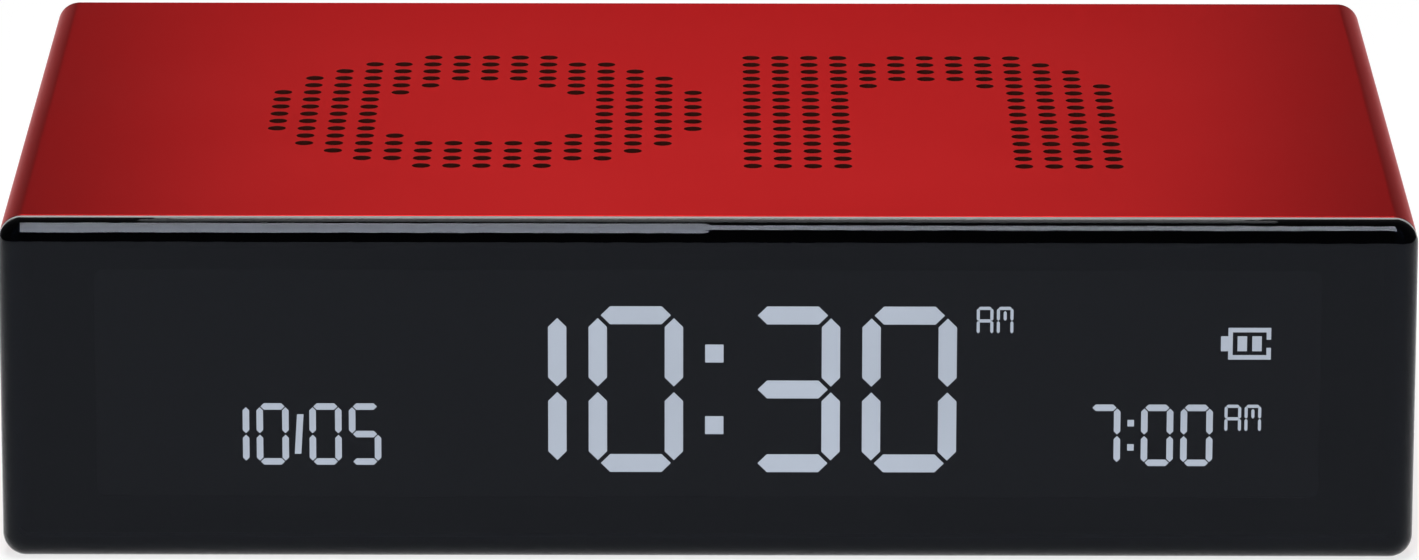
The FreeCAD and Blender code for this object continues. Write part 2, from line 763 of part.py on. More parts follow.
def slash(x, z):
    half = SMALL_STROKE / 2
    lean = SLASH_LEAN / 2
    low = z - SLASH_HEIGHT / 2
    high = z + SLASH_HEIGHT / 2
    return ink([(x - lean - half, low), (x - lean + half, low),
                (x + lean + half, high), (x + lean - half, high)])


TIME_CELL = (TIME_CELL_WIDTH, TIME_CELL_HEIGHT, TIME_STROKE, TIME_SEGMENT_GAP)
SMALL_CELL = (SMALL_CELL_WIDTH, SMALL_CELL_HEIGHT, SMALL_STROKE, SMALL_SEGMENT_GAP)
AM_CELL = (AM_CELL_WIDTH, AM_CELL_HEIGHT, AM_STROKE, AM_SEGMENT_GAP)


def time_digits():
    solids = four_characters(TIME_TEXT, TIME_X, TIME_Z, TIME_CELL, TIME_PITCH, TIME_COLON_OFFSET)
    return Part.makeCompound(solids + colon(TIME_X, TIME_Z, TIME_COLON_RISE, TIME_STROKE))


def date_digits():
    solids = four_characters(DATE_TEXT, DATE_X, SMALL_Z, SMALL_CELL, SMALL_PITCH, SMALL_COLON_OFFSET)
    return Part.makeCompound(solids + [slash(DATE_X, SMALL_Z)])


def alarm_digits():
    solids = four_characters(ALARM_TEXT, ALARM_X, SMALL_Z, SMALL_CELL, SMALL_PITCH, SMALL_COLON_OFFSET)
    return Part.makeCompound(solids + colon(ALARM_X, SMALL_Z, SMALL_COLON_RISE, SMALL_STROKE))


def am_marks():
    """An AM mark beside the time and another beside the alarm time, level with the digits' tops."""
    groups = [
        (TIME_X + TIME_COLON_OFFSET + TIME_PITCH + TIME_CELL_WIDTH / 2, AM_SPACE,
         TIME_Z + TIME_CELL_HEIGHT / 2),
        (ALARM_X + SMALL_COLON_OFFSET + SMALL_PITCH + SMALL_CELL_WIDTH / 2, ALARM_AM_SPACE,
         SMALL_Z + SMALL_CELL_HEIGHT / 2),
    ]
    solids = []
    for digits_end, space, top in groups:
        z = top - AM_CELL_HEIGHT / 2
        for index, letter in enumerate("AM"):
            solids += character(letter, digits_end + space + index * AM_PITCH, z, *AM_CELL)
    return Part.makeCompound(solids)


def battery_mark():
    x = BATTERY_MARK_X
    z = MID_Z + BATTERY_MARK_RISE
    width = BATTERY_MARK_WIDTH
    stroke = BATTERY_MARK_STROKE
    body = ink_box(x, z, width, BATTERY_MARK_HEIGHT)
    hollow = ink_box(x, z, width - 2 * stroke, BATTERY_MARK_HEIGHT - 2 * stroke)
    slot = ink_box(x + width / 2, z, 2 * stroke + TINY, BATTERY_MARK_SLOT)
    outline = body.cut([hollow, slot])
    nose = ink_box(x - (width + BATTERY_MARK_NOSE) / 2, z, BATTERY_MARK_NOSE, BATTERY_MARK_BAR_HEIGHT)
    bars = [ink_box(x + side * BATTERY_MARK_BAR_PITCH / 2, z, BATTERY_MARK_BAR, BATTERY_MARK_BAR_HEIGHT)
            for side in (-1, 1)]
    return Part.makeCompound([joined(outline, nose)] + bars)


def flex_route():
    """Route of the display's flat cable, down the panel's ledge, back and up onto the main board."""
    half = FLEX_THICKNESS / 2
    ledge_y = LCD_BACK_Y + half
    low_z = LCD_BOTTOM_Z + FLEX_FOOT
    high_z = BOARD_TOP_Z + half
    rise_y = BOARD_FRONT_Y - FLEX_REACH
    return [(ledge_y, low_z + FLEX_BEND + FLEX_LAP), (ledge_y, low_z), (rise_y, low_z), (rise_y, high_z),
            (BOARD_FRONT_Y + FLEX_BOARD_LAP, high_z)]


def display_flex():
    return flat_cable(flex_route(), FLEX_X, FLEX_WIDTH, FLEX_THICKNESS, FLEX_BEND)


# Chassis and what it carries

def board_screw_places():
    inset = BOARD_SCREW_INSET
    return [(x, y) for x in (BOARD_LEFT_X + inset, BOARD_RIGHT_X - inset)
            for y in (BOARD_FRONT_Y + inset, BOARD_BACK_Y - inset)]


def rear_screw_places():
    return [(x, MID_Z + z) for x in (-REAR_SCREW_X, REAR_SCREW_X)
            for z in (-REAR_SCREW_SPAN / 2, REAR_SCREW_SPAN / 2)]


def battery_fence():
    grow = FENCE_GAP + FENCE_WALL
    top = BAY_FLOOR_Z + FENCE_HEIGHT
    outer = block(BATTERY_LEFT_X - grow, BATTERY_RIGHT_X + grow,
                  BATTERY_FRONT_Y - grow, BATTERY_BACK_Y + grow, BAY_FLOOR_Z, top)
    inner = block(BATTERY_LEFT_X - FENCE_GAP, BATTERY_RIGHT_X + FENCE_GAP,
                  BATTERY_FRONT_Y - FENCE_GAP, BATTERY_BACK_Y + FENCE_GAP, BAY_FLOOR_Z, top)
    return outer.cut(inner)


def buzzer_fence():
    top = BAY_FLOOR_Z + FENCE_HEIGHT
    inner_radius = BUZZER_RADIUS + FENCE_GAP
    outer = rod_z(BUZZER_X, BUZZER_Y, inner_radius + FENCE_WALL, BAY_FLOOR_Z, top)
    return outer.cut(rod_z(BUZZER_X, BUZZER_Y, inner_radius, BAY_FLOOR_Z, top))


def sound_slots():
    slots = []
    for index in range(SOUND_SLOT_COUNT):
        x = BUZZER_X + (index - (SOUND_SLOT_COUNT - 1) / 2) * SOUND_SLOT_PITCH
        slots.append(block(x - SOUND_SLOT_WIDTH / 2, x + SOUND_SLOT_WIDTH / 2,
                           BUZZER_Y - SOUND_SLOT_LENGTH / 2, BUZZER_Y + SOUND_SLOT_LENGTH / 2,
                           CHASSIS_BOTTOM_Z - OVERCUT, BAY_FLOOR_Z + OVERCUT))
    return slots


def flex_slot():
    low_z = LCD_BOTTOM_Z + FLEX_FOOT
    half_width = FLEX_WIDTH / 2 + FLEX_SLOT_GAP
    half_height = FLEX_THICKNESS / 2 + FLEX_SLOT_GAP
    return block(FLEX_X - half_width, FLEX_X + half_width, CHASSIS_FRONT_Y - OVERCUT, BAY_FRONT_Y + OVERCUT,
                 low_z - half_height, low_z + half_height)


def chassis():
    floor = block(-CHASSIS_HALF, CHASSIS_HALF, CHASSIS_FRONT_Y, CHASSIS_BACK_Y, CHASSIS_BOTTOM_Z, BAY_FLOOR_Z)
    front = block(-CHASSIS_HALF, CHASSIS_HALF, CHASSIS_FRONT_Y, BAY_FRONT_Y, CHASSIS_BOTTOM_Z, CHASSIS_TOP_Z)
    sides = [block(x, x + CHASSIS_WALL, CHASSIS_FRONT_Y, CHASSIS_BACK_Y, CHASSIS_BOTTOM_Z, CHASSIS_TOP_Z)
             for x in (-CHASSIS_HALF, BAY_HALF)]
    bosses = [rod_y(x, z, REAR_BOSS_RADIUS, SEAT_Y - REAR_BOSS_LENGTH, SEAT_Y)
              for x, z in rear_screw_places()]
    posts = [rod_z(x, y, POST_RADIUS, BAY_FLOOR_Z, BOARD_BOTTOM_Z) for x, y in board_screw_places()]
    body = joined(floor, front, battery_fence(), buzzer_fence(), *(sides + bosses + posts))
    clear = SMALL_SHANK_RADIUS + SCREW_CLEARANCE
    frame_holes = [rod_y(x, z, clear, CHASSIS_FRONT_Y - OVERCUT, BAY_FRONT_Y + OVERCUT)
                   for x, z in frame_screw_places()]
    rear_holes = [rod_y(x, z, REAR_SHANK_RADIUS, COVER_OUTER_Y - REAR_HEAD_HEIGHT - REAR_SHANK_LENGTH,
                        SEAT_Y + OVERCUT) for x, z in rear_screw_places()]
    post_holes = [rod_z(x, y, SMALL_SHANK_RADIUS, BOARD_TOP_Z - SMALL_SHANK_LENGTH, BOARD_BOTTOM_Z + OVERCUT)
                  for x, y in board_screw_places()]
    return body.cut(frame_holes + rear_holes + post_holes + sound_slots() + [flex_slot()])


def main_board():
    board = block(BOARD_LEFT_X, BOARD_RIGHT_X, BOARD_FRONT_Y, BOARD_BACK_Y, BOARD_BOTTOM_Z, BOARD_TOP_Z)
    clear = SMALL_SHANK_RADIUS + SCREW_CLEARANCE
    return board.cut([rod_z(x, y, clear, BOARD_BOTTOM_Z - OVERCUT, BOARD_TOP_Z + OVERCUT)
                      for x, y in board_screw_places()])


def board_screws():
    one = screw(SMALL_HEAD_RADIUS, SMALL_HEAD_HEIGHT, SMALL_SHANK_RADIUS, SMALL_SHANK_LENGTH)
    return Part.makeCompound([
        placed(one, vector(x, y, BOARD_TOP_Z + SMALL_HEAD_HEIGHT), vector(0, 0, 1))
        for x, y in board_screw_places()
    ])


def controller_chip():
    x = BOARD_LEFT_X + CHIP_X
    y = BOARD_FRONT_Y + CHIP_Y
    half = CHIP_SIZE / 2
    return block(x - half, x + half, y - half, y + half, BOARD_TOP_Z, BOARD_TOP_Z + CHIP_HEIGHT)


def clock_crystal():
    x = BOARD_LEFT_X + CRYSTAL_X
    y = BOARD_FRONT_Y + CRYSTAL_Y
    half = CRYSTAL_LENGTH / 2
    return rod_y(x, BOARD_TOP_Z + CRYSTAL_RADIUS, CRYSTAL_RADIUS, y - half, y + half)


def capacitors():
    y = BOARD_FRONT_Y + CAPACITOR_Y
    cans = []
    for index in range(CAPACITOR_COUNT):
        x = BOARD_RIGHT_X - CAPACITOR_FROM_RIGHT - index * CAPACITOR_PITCH
        cans.append(rod_z(x, y, CAPACITOR_RADIUS, BOARD_TOP_Z, BOARD_TOP_Z + CAPACITOR_HEIGHT))
    return Part.makeCompound(cans)


def battery_cell():
    cell = block(BATTERY_LEFT_X, BATTERY_RIGHT_X, BATTERY_FRONT_Y, BATTERY_BACK_Y,
                 BATTERY_BOTTOM_Z, BATTERY_BOTTOM_Z + BATTERY_HEIGHT)
    return cell.makeFillet(BATTERY_ROUND, cell.Edges)


def battery_tape():
    margin = BATTERY_TAPE_MARGIN
    return block(BATTERY_LEFT_X + margin, BATTERY_RIGHT_X - margin, BATTERY_FRONT_Y + margin,
                 BATTERY_BACK_Y - margin, BAY_FLOOR_Z, BATTERY_BOTTOM_Z)


def plug_middle():
    """Middle of the mouth of the battery's socket on the main board."""
    return BOARD_RIGHT_X, BOARD_BACK_Y - PLUG_FROM_BACK, BOARD_TOP_Z + SOCKET_HEIGHT / 2


def battery_socket():
    x, y, z = plug_middle()
    body = block(x - SOCKET_LENGTH, x, y - SOCKET_WIDTH / 2, y + SOCKET_WIDTH / 2, BOARD_TOP_Z,
                 BOARD_TOP_Z + SOCKET_HEIGHT)
    half_width = SOCKET_WIDTH / 2 - SOCKET_WALL
    half_height = SOCKET_HEIGHT / 2 - SOCKET_WALL
    pocket = block(x - SOCKET_DEPTH, x + OVERCUT, y - half_width, y + half_width,
                   z - half_height, z + half_height)
    return body.cut(pocket)


def battery_plug():
    x, y, z = plug_middle()
    half_width = SOCKET_WIDTH / 2 - SOCKET_WALL - PIN_PLUG_GAP
    half_height = SOCKET_HEIGHT / 2 - SOCKET_WALL - PIN_PLUG_GAP
    start = x - SOCKET_DEPTH
    return block(start, start + PIN_PLUG_LENGTH, y - half_width, y + half_width,
                 z - half_height, z + half_height)


def battery_lead(side):
    """Lead from the cell's end round to the plug, beside its twin."""
    x, y, z = plug_middle()
    plug_end = x - SOCKET_DEPTH + PIN_PLUG_LENGTH
    shift = side * LEAD_SPACING / 2
    cell_y = (BATTERY_FRONT_Y + BATTERY_BACK_Y) / 2 + shift
    cell_z = BATTERY_BOTTOM_Z + LEAD_HEIGHT
    turn_x = BATTERY_LEFT_X - LEAD_RUN + shift
    return lead([(BATTERY_LEFT_X, cell_y, cell_z), (turn_x, cell_y, cell_z),
                 (turn_x, y + shift, z), (plug_end, y + shift, z)], LEAD_DIAMETER)


def buzzer_case():
    body = rod_z(BUZZER_X, BUZZER_Y, BUZZER_RADIUS, BAY_FLOOR_Z, BAY_FLOOR_Z + BUZZER_HEIGHT)
    seat_z = BAY_FLOOR_Z + BUZZER_SEAT_HEIGHT
    mouth_radius = BUZZER_RADIUS - BUZZER_WALL
    mouth = rod_z(BUZZER_X, BUZZER_Y, mouth_radius, BAY_FLOOR_Z - OVERCUT, seat_z)
    chamber = rod_z(BUZZER_X, BUZZER_Y, mouth_radius - BUZZER_SEAT_STEP, seat_z - OVERCUT,
                    BAY_FLOOR_Z + BUZZER_HEIGHT - BUZZER_WALL)
    return body.cut([mouth, chamber])


def buzzer_disc():
    seat_z = BAY_FLOOR_Z + BUZZER_SEAT_HEIGHT
    radius = BUZZER_RADIUS - BUZZER_WALL - BUZZER_DISC_GAP
    return rod_z(BUZZER_X, BUZZER_Y, radius, seat_z - BUZZER_DISC_THICKNESS, seat_z)


def buzzer_crystal():
    seat_z = BAY_FLOOR_Z + BUZZER_SEAT_HEIGHT
    return rod_z(BUZZER_X, BUZZER_Y, BUZZER_CRYSTAL_RADIUS, seat_z, seat_z + BUZZER_CRYSTAL_THICKNESS)


def buzzer_lead(side):
    """Lead from the buzzer's side to a pad at the rear corner of the main board."""
    shift = side * BUZZER_LEAD_SPACING / 2
    y = BUZZER_Y + shift
    start_x = BUZZER_X - math.sqrt(BUZZER_RADIUS ** 2 - shift ** 2)
    start_z = BAY_FLOOR_Z + BUZZER_HEIGHT - BUZZER_WALL
    land_y = BUZZER_Y - BUZZER_LEAD_FRONT + shift
    land_z = BOARD_TOP_Z + BUZZER_LEAD_DIAMETER / 2
    gap = start_x - BOARD_RIGHT_X
    return lead([(start_x, y, start_z), (start_x - gap / 3, y, start_z),
                 (start_x - 2 * gap / 3, land_y, land_z + 1), (BOARD_RIGHT_X, land_y, land_z),
                 (BOARD_RIGHT_X - BUZZER_LEAD_LAND, land_y, land_z)], BUZZER_LEAD_DIAMETER)


# Tilt sensor

def tilt_centre():
    return BOARD_LEFT_X + TILT_X, BOARD_BACK_Y - TILT_FROM_BACK


def tilt_bore():
    """Lower and upper ends of the ball's cage."""
    low = BOARD_TOP_Z + TILT_END
    return low, low + 2 * TILT_BALL_RADIUS + TILT_TRAVEL + 2 * TILT_SEAT_GAP


def tilt_sensor_case():
    x, y = tilt_centre()
    low, high = tilt_bore()
    bore_radius = TILT_BALL_RADIUS + TILT_BALL_GAP
    can = rod_z(x, y, bore_radius + TILT_WALL, BOARD_TOP_Z, high + TILT_END)
    return can.cut([rod_z(x, y, bore_radius, low, high)] + tilt_pins())


def tilt_pins():
    x, y = tilt_centre()
    low, high = tilt_bore()
    pins = []
    for side in (-1, 1):
        pin_x = x + side * TILT_CONTACT_SPACING / 2
        pins.append(rod_z(pin_x, y, TILT_CONTACT_RADIUS, BOARD_TOP_Z, low))
        pins.append(rod_z(pin_x, y, TILT_CONTACT_RADIUS, high, high + TILT_END))
    return pins


def tilt_sensor_contacts():
    return Part.makeCompound(tilt_pins())


def tilt_ball():
    x, y = tilt_centre()
    low = tilt_bore()[0]
    return Part.makeSphere(TILT_BALL_RADIUS, vector(x, y, low + TILT_SEAT_GAP + TILT_BALL_RADIUS))


# Rear cover, buttons and charging socket

def standoff_places():
    return [(x, MID_Z + z) for x in (-STANDOFF_X, STANDOFF_X)
            for z in (-STANDOFF_SPAN / 2, STANDOFF_SPAN / 2)]


def rear_cover():
    plate = rounded_bar(0, MID_Z, SEAT_WIDTH - 2 * COVER_GAP, SEAT_HEIGHT - 2 * COVER_GAP,
                        SEAT_CORNER - COVER_GAP, SEAT_Y, COVER_OUTER_Y)
    standoffs = [rod_y(x, z, STANDOFF_RADIUS, SWITCH_BASE_Y, SEAT_Y) for x, z in standoff_places()]
    cover = joined(plate, *standoffs)
    front = SEAT_Y - OVERCUT
    back = COVER_OUTER_Y + OVERCUT
    button_holes = [rounded_bar(x, MID_Z, BUTTON_WIDTH + 2 * BUTTON_GAP, BUTTON_HEIGHT + 2 * BUTTON_GAP,
                                BUTTON_HEIGHT / 2 + BUTTON_GAP, front, back) for x in BUTTON_PLACES.values()]
    socket_hole = rounded_bar(0, MID_Z, USB_WIDTH + 2 * USB_HOLE_GAP, USB_HEIGHT + 2 * USB_HOLE_GAP,
                              USB_CORNER + USB_HOLE_GAP, front, back)
    reset_hole = rod_y(RESET_X, MID_Z, RESET_HOLE_RADIUS, front, back)
    head_y = COVER_OUTER_Y - REAR_HEAD_HEIGHT
    shank_holes = [rod_y(x, z, REAR_SHANK_RADIUS + SCREW_CLEARANCE, front, back)
                   for x, z in rear_screw_places()]
    head_holes = [rod_y(x, z, REAR_HEAD_RADIUS + REAR_HEAD_GAP, head_y, back)
                  for x, z in rear_screw_places()]
    board_holes = [rod_y(x, z, SMALL_SHANK_RADIUS, SWITCH_BASE_Y - OVERCUT,
                         BUTTON_BOARD_FRONT_Y + SMALL_SHANK_LENGTH) for x, z in standoff_places()]
    return cover.cut(button_holes + shank_holes + head_holes + board_holes + [socket_hole, reset_hole])


def rear_screws():
    one = screw(REAR_HEAD_RADIUS, REAR_HEAD_HEIGHT, REAR_SHANK_RADIUS, REAR_SHANK_LENGTH)
    return Part.makeCompound([placed(one, vector(x, COVER_OUTER_Y, z), vector(0, 1, 0))
                              for x, z in rear_screw_places()])


def button_board():
    half = BUTTON_OUTER_X + BUTTON_BOARD_MARGIN
    board = block(-half, half, BUTTON_BOARD_FRONT_Y, SWITCH_BASE_Y,
                  MID_Z - BUTTON_BOARD_HEIGHT / 2, MID_Z + BUTTON_BOARD_HEIGHT / 2)
    clear = SMALL_SHANK_RADIUS + SCREW_CLEARANCE
    return board.cut([rod_y(x, z, clear, BUTTON_BOARD_FRONT_Y - OVERCUT, SWITCH_BASE_Y + OVERCUT)
                      for x, z in standoff_places()])


def button_board_screws():
    one = screw(SMALL_HEAD_RADIUS, SMALL_HEAD_HEIGHT, SMALL_SHANK_RADIUS, SMALL_SHANK_LENGTH)
    head_y = BUTTON_BOARD_FRONT_Y - SMALL_HEAD_HEIGHT
    return Part.makeCompound([placed(one, vector(x, head_y, z), vector(0, -1, 0))
                              for x, z in standoff_places()])


def switch_body(x, size, height, pocket_radius, pocket):
    half = size / 2
    top = SWITCH_BASE_Y + height
    body = block(x - half, x + half, SWITCH_BASE_Y, top, MID_Z - half, MID_Z + half)
    return body.cut(rod_y(x, MID_Z, pocket_radius, top - pocket, top + OVERCUT))


def switch_bodies():
    return Part.makeCompound([
        switch_body(x, SWITCH_SIZE, SWITCH_HEIGHT, PLUNGER_RADIUS + PLUNGER_GAP, SWITCH_POCKET)
        for x in BUTTON_PLACES.values()
    ])


def switch_plunger(x):
    return rod_y(x, MID_Z, PLUNGER_RADIUS, SWITCH_TOP_Y - PLUNGER_DEPTH, PLUNGER_TOP_Y)


def button(x):
    flange = rounded_bar(x, MID_Z, BUTTON_WIDTH + 2 * FLANGE_MARGIN, BUTTON_HEIGHT + 2 * FLANGE_MARGIN,
                         BUTTON_HEIGHT / 2 + FLANGE_MARGIN, FLANGE_FRONT_Y, FLANGE_BACK_Y)
    cap = rounded_bar(x, MID_Z, BUTTON_WIDTH, BUTTON_HEIGHT, BUTTON_HEIGHT / 2, FLANGE_BACK_Y, BACK_Y)
    cap = cap.makeFillet(BUTTON_EDGE_ROUND, edges_at_y(cap, BACK_Y))
    stem = rod_y(x, MID_Z, STEM_RADIUS, PLUNGER_TOP_Y, FLANGE_FRONT_Y)
    return joined(flange, cap, stem)


def reset_switch():
    return switch_body(RESET_X, RESET_SIZE, RESET_HEIGHT, RESET_PLUNGER_RADIUS + PLUNGER_GAP, RESET_POCKET)


def reset_plunger():
    top = SWITCH_BASE_Y + RESET_HEIGHT
    return rod_y(RESET_X, MID_Z, RESET_PLUNGER_RADIUS, top - PLUNGER_DEPTH, top + RESET_PLUNGER_RISE)


def mark_box(x, z, width, height):
    return block(x - width / 2, x + width / 2, COVER_OUTER_Y, COVER_OUTER_Y + MARK_THICKNESS,
                 z - height / 2, z + height / 2)


def mark_disc(x, z, radius):
    return rod_y(x, z, radius, COVER_OUTER_Y, COVER_OUTER_Y + MARK_THICKNESS)


def clock_mark(x, z):
    radius = MARK_SIZE / 2
    ring = mark_disc(x, z, radius).cut(mark_disc(x, z, radius - MARK_STROKE))
    long_hand = mark_box(x, z + radius / 4, MARK_STROKE, radius / 2 + MARK_STROKE)
    short_hand = mark_box(x - radius / 4, z, radius / 2 + MARK_STROKE, MARK_STROKE)
    return [ring, joined(long_hand, short_hand)]


def bell_mark(x, z):
    radius = MARK_SIZE / 3
    base_z = z - MARK_SIZE / 3
    dome = mark_disc(x, base_z + radius, radius)
    skirt = mark_box(x, base_z + radius / 2, 2 * radius, radius)
    rim = mark_box(x, base_z, MARK_SIZE, MARK_STROKE)
    clapper = mark_disc(x, base_z - MARK_STROKE, MARK_STROKE)
    return [joined(dome, skirt, rim, clapper)]


def button_marks():
    z = MID_Z + MARK_RISE
    plus_x = BUTTON_PLACES["plus"]
    plus = joined(mark_box(plus_x, z, MARK_SIZE, MARK_STROKE), mark_box(plus_x, z, MARK_STROKE, MARK_SIZE))
    minus = mark_box(BUTTON_PLACES["minus"], z, MARK_SIZE, MARK_STROKE)
    clock = clock_mark(BUTTON_PLACES["set_time"], z)
    bell = bell_mark(BUTTON_PLACES["set_alarm"], z)
    return Part.makeCompound([plus, minus] + clock + bell)


def usb_shell():
    end = SWITCH_BASE_Y + USB_LENGTH
    outer = rounded_bar(0, MID_Z, USB_WIDTH, USB_HEIGHT, USB_CORNER, SWITCH_BASE_Y, end)
    inner = rounded_bar(0, MID_Z, USB_WIDTH - 2 * USB_WALL, USB_HEIGHT - 2 * USB_WALL, USB_CORNER - USB_WALL,
                        SWITCH_BASE_Y - OVERCUT, end + OVERCUT)
    return outer.cut(inner)


def usb_tongue():
    base = rounded_bar(0, MID_Z, USB_WIDTH - 2 * USB_WALL, USB_HEIGHT - 2 * USB_WALL, USB_CORNER - USB_WALL,
                       SWITCH_BASE_Y, SWITCH_BASE_Y + USB_BASE)
    start = SWITCH_BASE_Y + USB_BASE
    half_width = USB_TONGUE_WIDTH / 2
    half = USB_TONGUE_THICKNESS / 2
    tongue = block(-half_width, half_width, start, start + USB_TONGUE_LENGTH, MID_Z - half, MID_Z + half)
    return joined(base, tongue)


def usb_contacts():
    start = SWITCH_BASE_Y + USB_BASE
    half = USB_TONGUE_THICKNESS / 2
    strips = []
    for index in range(USB_CONTACT_COUNT):
        x = (index - (USB_CONTACT_COUNT - 1) / 2) * USB_CONTACT_PITCH
        for z in (MID_Z + half, MID_Z - half - USB_CONTACT_THICKNESS):
            strips.append(block(x - USB_CONTACT_WIDTH / 2, x + USB_CONTACT_WIDTH / 2, start,
                                start + USB_CONTACT_LENGTH, z, z + USB_CONTACT_THICKNESS))
    return Part.makeCompound(strips)


def ribbon_cable():
    """Flat cable from the top of the main board, back and up the inner face of the button board."""
    half = RIBBON_THICKNESS / 2
    low_z = BOARD_TOP_Z + half
    far_y = BUTTON_BOARD_FRONT_Y - half
    route = [(BOARD_BACK_Y - RIBBON_LAP, low_z), (far_y, low_z), (far_y, low_z + RIBBON_CLIMB)]
    return flat_cable(route, RIBBON_X, RIBBON_WIDTH, RIBBON_THICKNESS, RIBBON_BEND)


def save(name, shape):
    if not shape.isValid():
        print("not valid:", name)
    shape.exportStep(os.path.join("parts", name + ".step"))


def main():
    os.makedirs("parts", exist_ok=True)
    parts = {
        "case_sleeve": case_sleeve(),
        "front_lens": front_lens(),
        "lens_mask": lens_mask(),
        "lens_tape": lens_tape(),
        "front_frame": front_frame(),
        "frame_screws": frame_screws(),
        "lcd_panel": lcd_panel(),
        "time_digits": time_digits(),
        "date_digits": date_digits(),
        "alarm_digits": alarm_digits(),
        "am_marks": am_marks(),
        "battery_mark": battery_mark(),
        "light_guide": light_guide(),
        "reflector_sheet": reflector_sheet(),
        "led_board": led_board(),
        "backlight_leds": backlight_leds(),
        "display_flex": display_flex(),
        "dust_cloth_on": dust_cloth(on_places(), ON_CLOTH_FRONT_GAP, ON_CLOTH_BACK_GAP,
                                    CASE_HEIGHT - WALL - CLOTH_THICKNESS),
        "dust_cloth_off": dust_cloth(off_places(), OFF_CLOTH_FRONT_GAP, OFF_CLOTH_BACK_GAP, WALL),
        "chassis": chassis(),
        "main_board": main_board(),
        "board_screws": board_screws(),
        "controller_chip": controller_chip(),
        "clock_crystal": clock_crystal(),
        "capacitors": capacitors(),
        "battery_cell": battery_cell(),
        "battery_tape": battery_tape(),
        "battery_socket": battery_socket(),
        "battery_plug": battery_plug(),
        "battery_lead_red": battery_lead(-1),
        "battery_lead_black": battery_lead(1),
        "buzzer_case": buzzer_case(),
        "buzzer_disc": buzzer_disc(),
        "buzzer_crystal": buzzer_crystal(),
        "buzzer_lead_red": buzzer_lead(-1),
        "buzzer_lead_black": buzzer_lead(1),
        "tilt_sensor_case": tilt_sensor_case(),
        "tilt_sensor_contacts": tilt_sensor_contacts(),
        "tilt_ball": tilt_ball(),
        "rear_cover": rear_cover(),
        "rear_screws": rear_screws(),
        "button_marks": button_marks(),
        "button_board": button_board(),
        "button_board_screws": button_board_screws(),
        "switch_bodies": switch_bodies(),
        "reset_switch": reset_switch(),
        "reset_plunger": reset_plunger(),
        "usb_shell": usb_shell(),
        "usb_tongue": usb_tongue(),
        "usb_contacts": usb_contacts(),
        "ribbon_cable": ribbon_cable(),
    }
    for name, x in BUTTON_PLACES.items():
        parts[name + "_button"] = button(x)
        parts[name + "_plunger"] = switch_plunger(x)
    for name, shape in parts.items():
        save(name, shape)
    print(len(parts), "nodes")


main()
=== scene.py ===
import math

import bmesh
import bpy
from mathutils import Matrix, Vector

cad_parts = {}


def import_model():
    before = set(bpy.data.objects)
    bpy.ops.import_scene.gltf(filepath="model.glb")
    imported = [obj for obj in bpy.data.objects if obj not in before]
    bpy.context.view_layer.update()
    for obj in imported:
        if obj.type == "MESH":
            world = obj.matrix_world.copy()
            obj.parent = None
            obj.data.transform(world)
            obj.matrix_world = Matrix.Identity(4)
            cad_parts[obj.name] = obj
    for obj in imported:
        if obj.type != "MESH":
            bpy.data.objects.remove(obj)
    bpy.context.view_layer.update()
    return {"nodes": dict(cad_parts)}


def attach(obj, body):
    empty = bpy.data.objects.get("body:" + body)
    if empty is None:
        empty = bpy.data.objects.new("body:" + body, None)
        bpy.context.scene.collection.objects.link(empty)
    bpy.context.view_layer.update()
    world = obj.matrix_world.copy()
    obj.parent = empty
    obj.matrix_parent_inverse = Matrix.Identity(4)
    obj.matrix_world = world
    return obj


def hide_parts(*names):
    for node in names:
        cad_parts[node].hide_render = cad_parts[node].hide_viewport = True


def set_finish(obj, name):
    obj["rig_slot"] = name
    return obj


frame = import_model()

MM = 0.001

# Case sizes in millimetres, with +Z up and the display at the -Y end
CASE_WIDTH = 150.0
CASE_HEIGHT = 37.0
CASE_CORNER = 2.5
WALL = 1.8
INNER_CORNER = 0.8
SEAT_STEP = 0.8
SEAM_CHAMFER = 0.02
BACK_ROUND = 0.4
FRONT_Y = -50.0
SEAM_Y = -46.6
PLUG_END_Y = -44.5
SEAT_Y = 47.5
BACK_Y = 50.0
PLUG_GAP = 0.15
LENS_FRONT_ROUND = 2.3
LENS_BACK_ROUND = 0.3
HIGHLIGHT_BAND_WIDTH = 0.55
PRINT_BORDER = 1.5
MID_Z = CASE_HEIGHT / 2

# Pattern of holes, as columns and rows of each letter
HOLE_RADIUS = 0.975
HOLE_FLARE = 0.02
HOLE_PITCH = 3.25
ON_CENTRE = (-1.7, -1.05)
OFF_CENTRE = (0.0, 2.0)
LETTER_ROWS = 16
LETTER_GAP = 1
O_COLUMNS = 15
O_OUTER_RADIUS = 7.8
O_INNER_RADIUS = 3.94
O_INNER_DROP = 0.25
N_COLUMNS = 13
STEM_COLUMNS = 4
N_ARCH_RADIUS = 5.45
N_ARCH_COLUMN = 6.9
N_ARCH_ROW = 5
N_OPENING_RADIUS = 2.55
N_OPENING_COLUMN = 6
N_OPENING_ROW = 6
F_COLUMNS = 9
F_STEM_START = 2
F_HOOK_ROWS = 6
F_HOOK_OUTER = 6.1
F_HOOK_INNER = 2.2
F_BAR_ROWS = (1, 2, 3)

# Fineness of the meshes
CORNER_STEPS = 14
ROUND_STEPS = 32
HOLE_STEPS = 32
OVERCUT = 0.5
FLAT = 0.001
SHARP_ANGLE = math.radians(35)

# Camera, fitted to the photograph
IMAGE_WIDTH = 1419
SENSOR_WIDTH = 36.0
FOCAL_PIXELS = 9572.8
CAMERA_PLACE = (0.0, -1.0245, 0.29474)
CAMERA_PITCH = 0.26439
CAMERA_ROLL = 0.00157
CAMERA_SHIFT = 0.00102
CLIP_NEAR = 0.05
CLIP_FAR = 50

# Middle of a noise, and the colour sockets of a mix node
NOISE_LOW = 0.3
NOISE_HIGH = 0.7
MIX_FIRST = 6
MIX_SECOND = 7
MIX_RESULT = 2

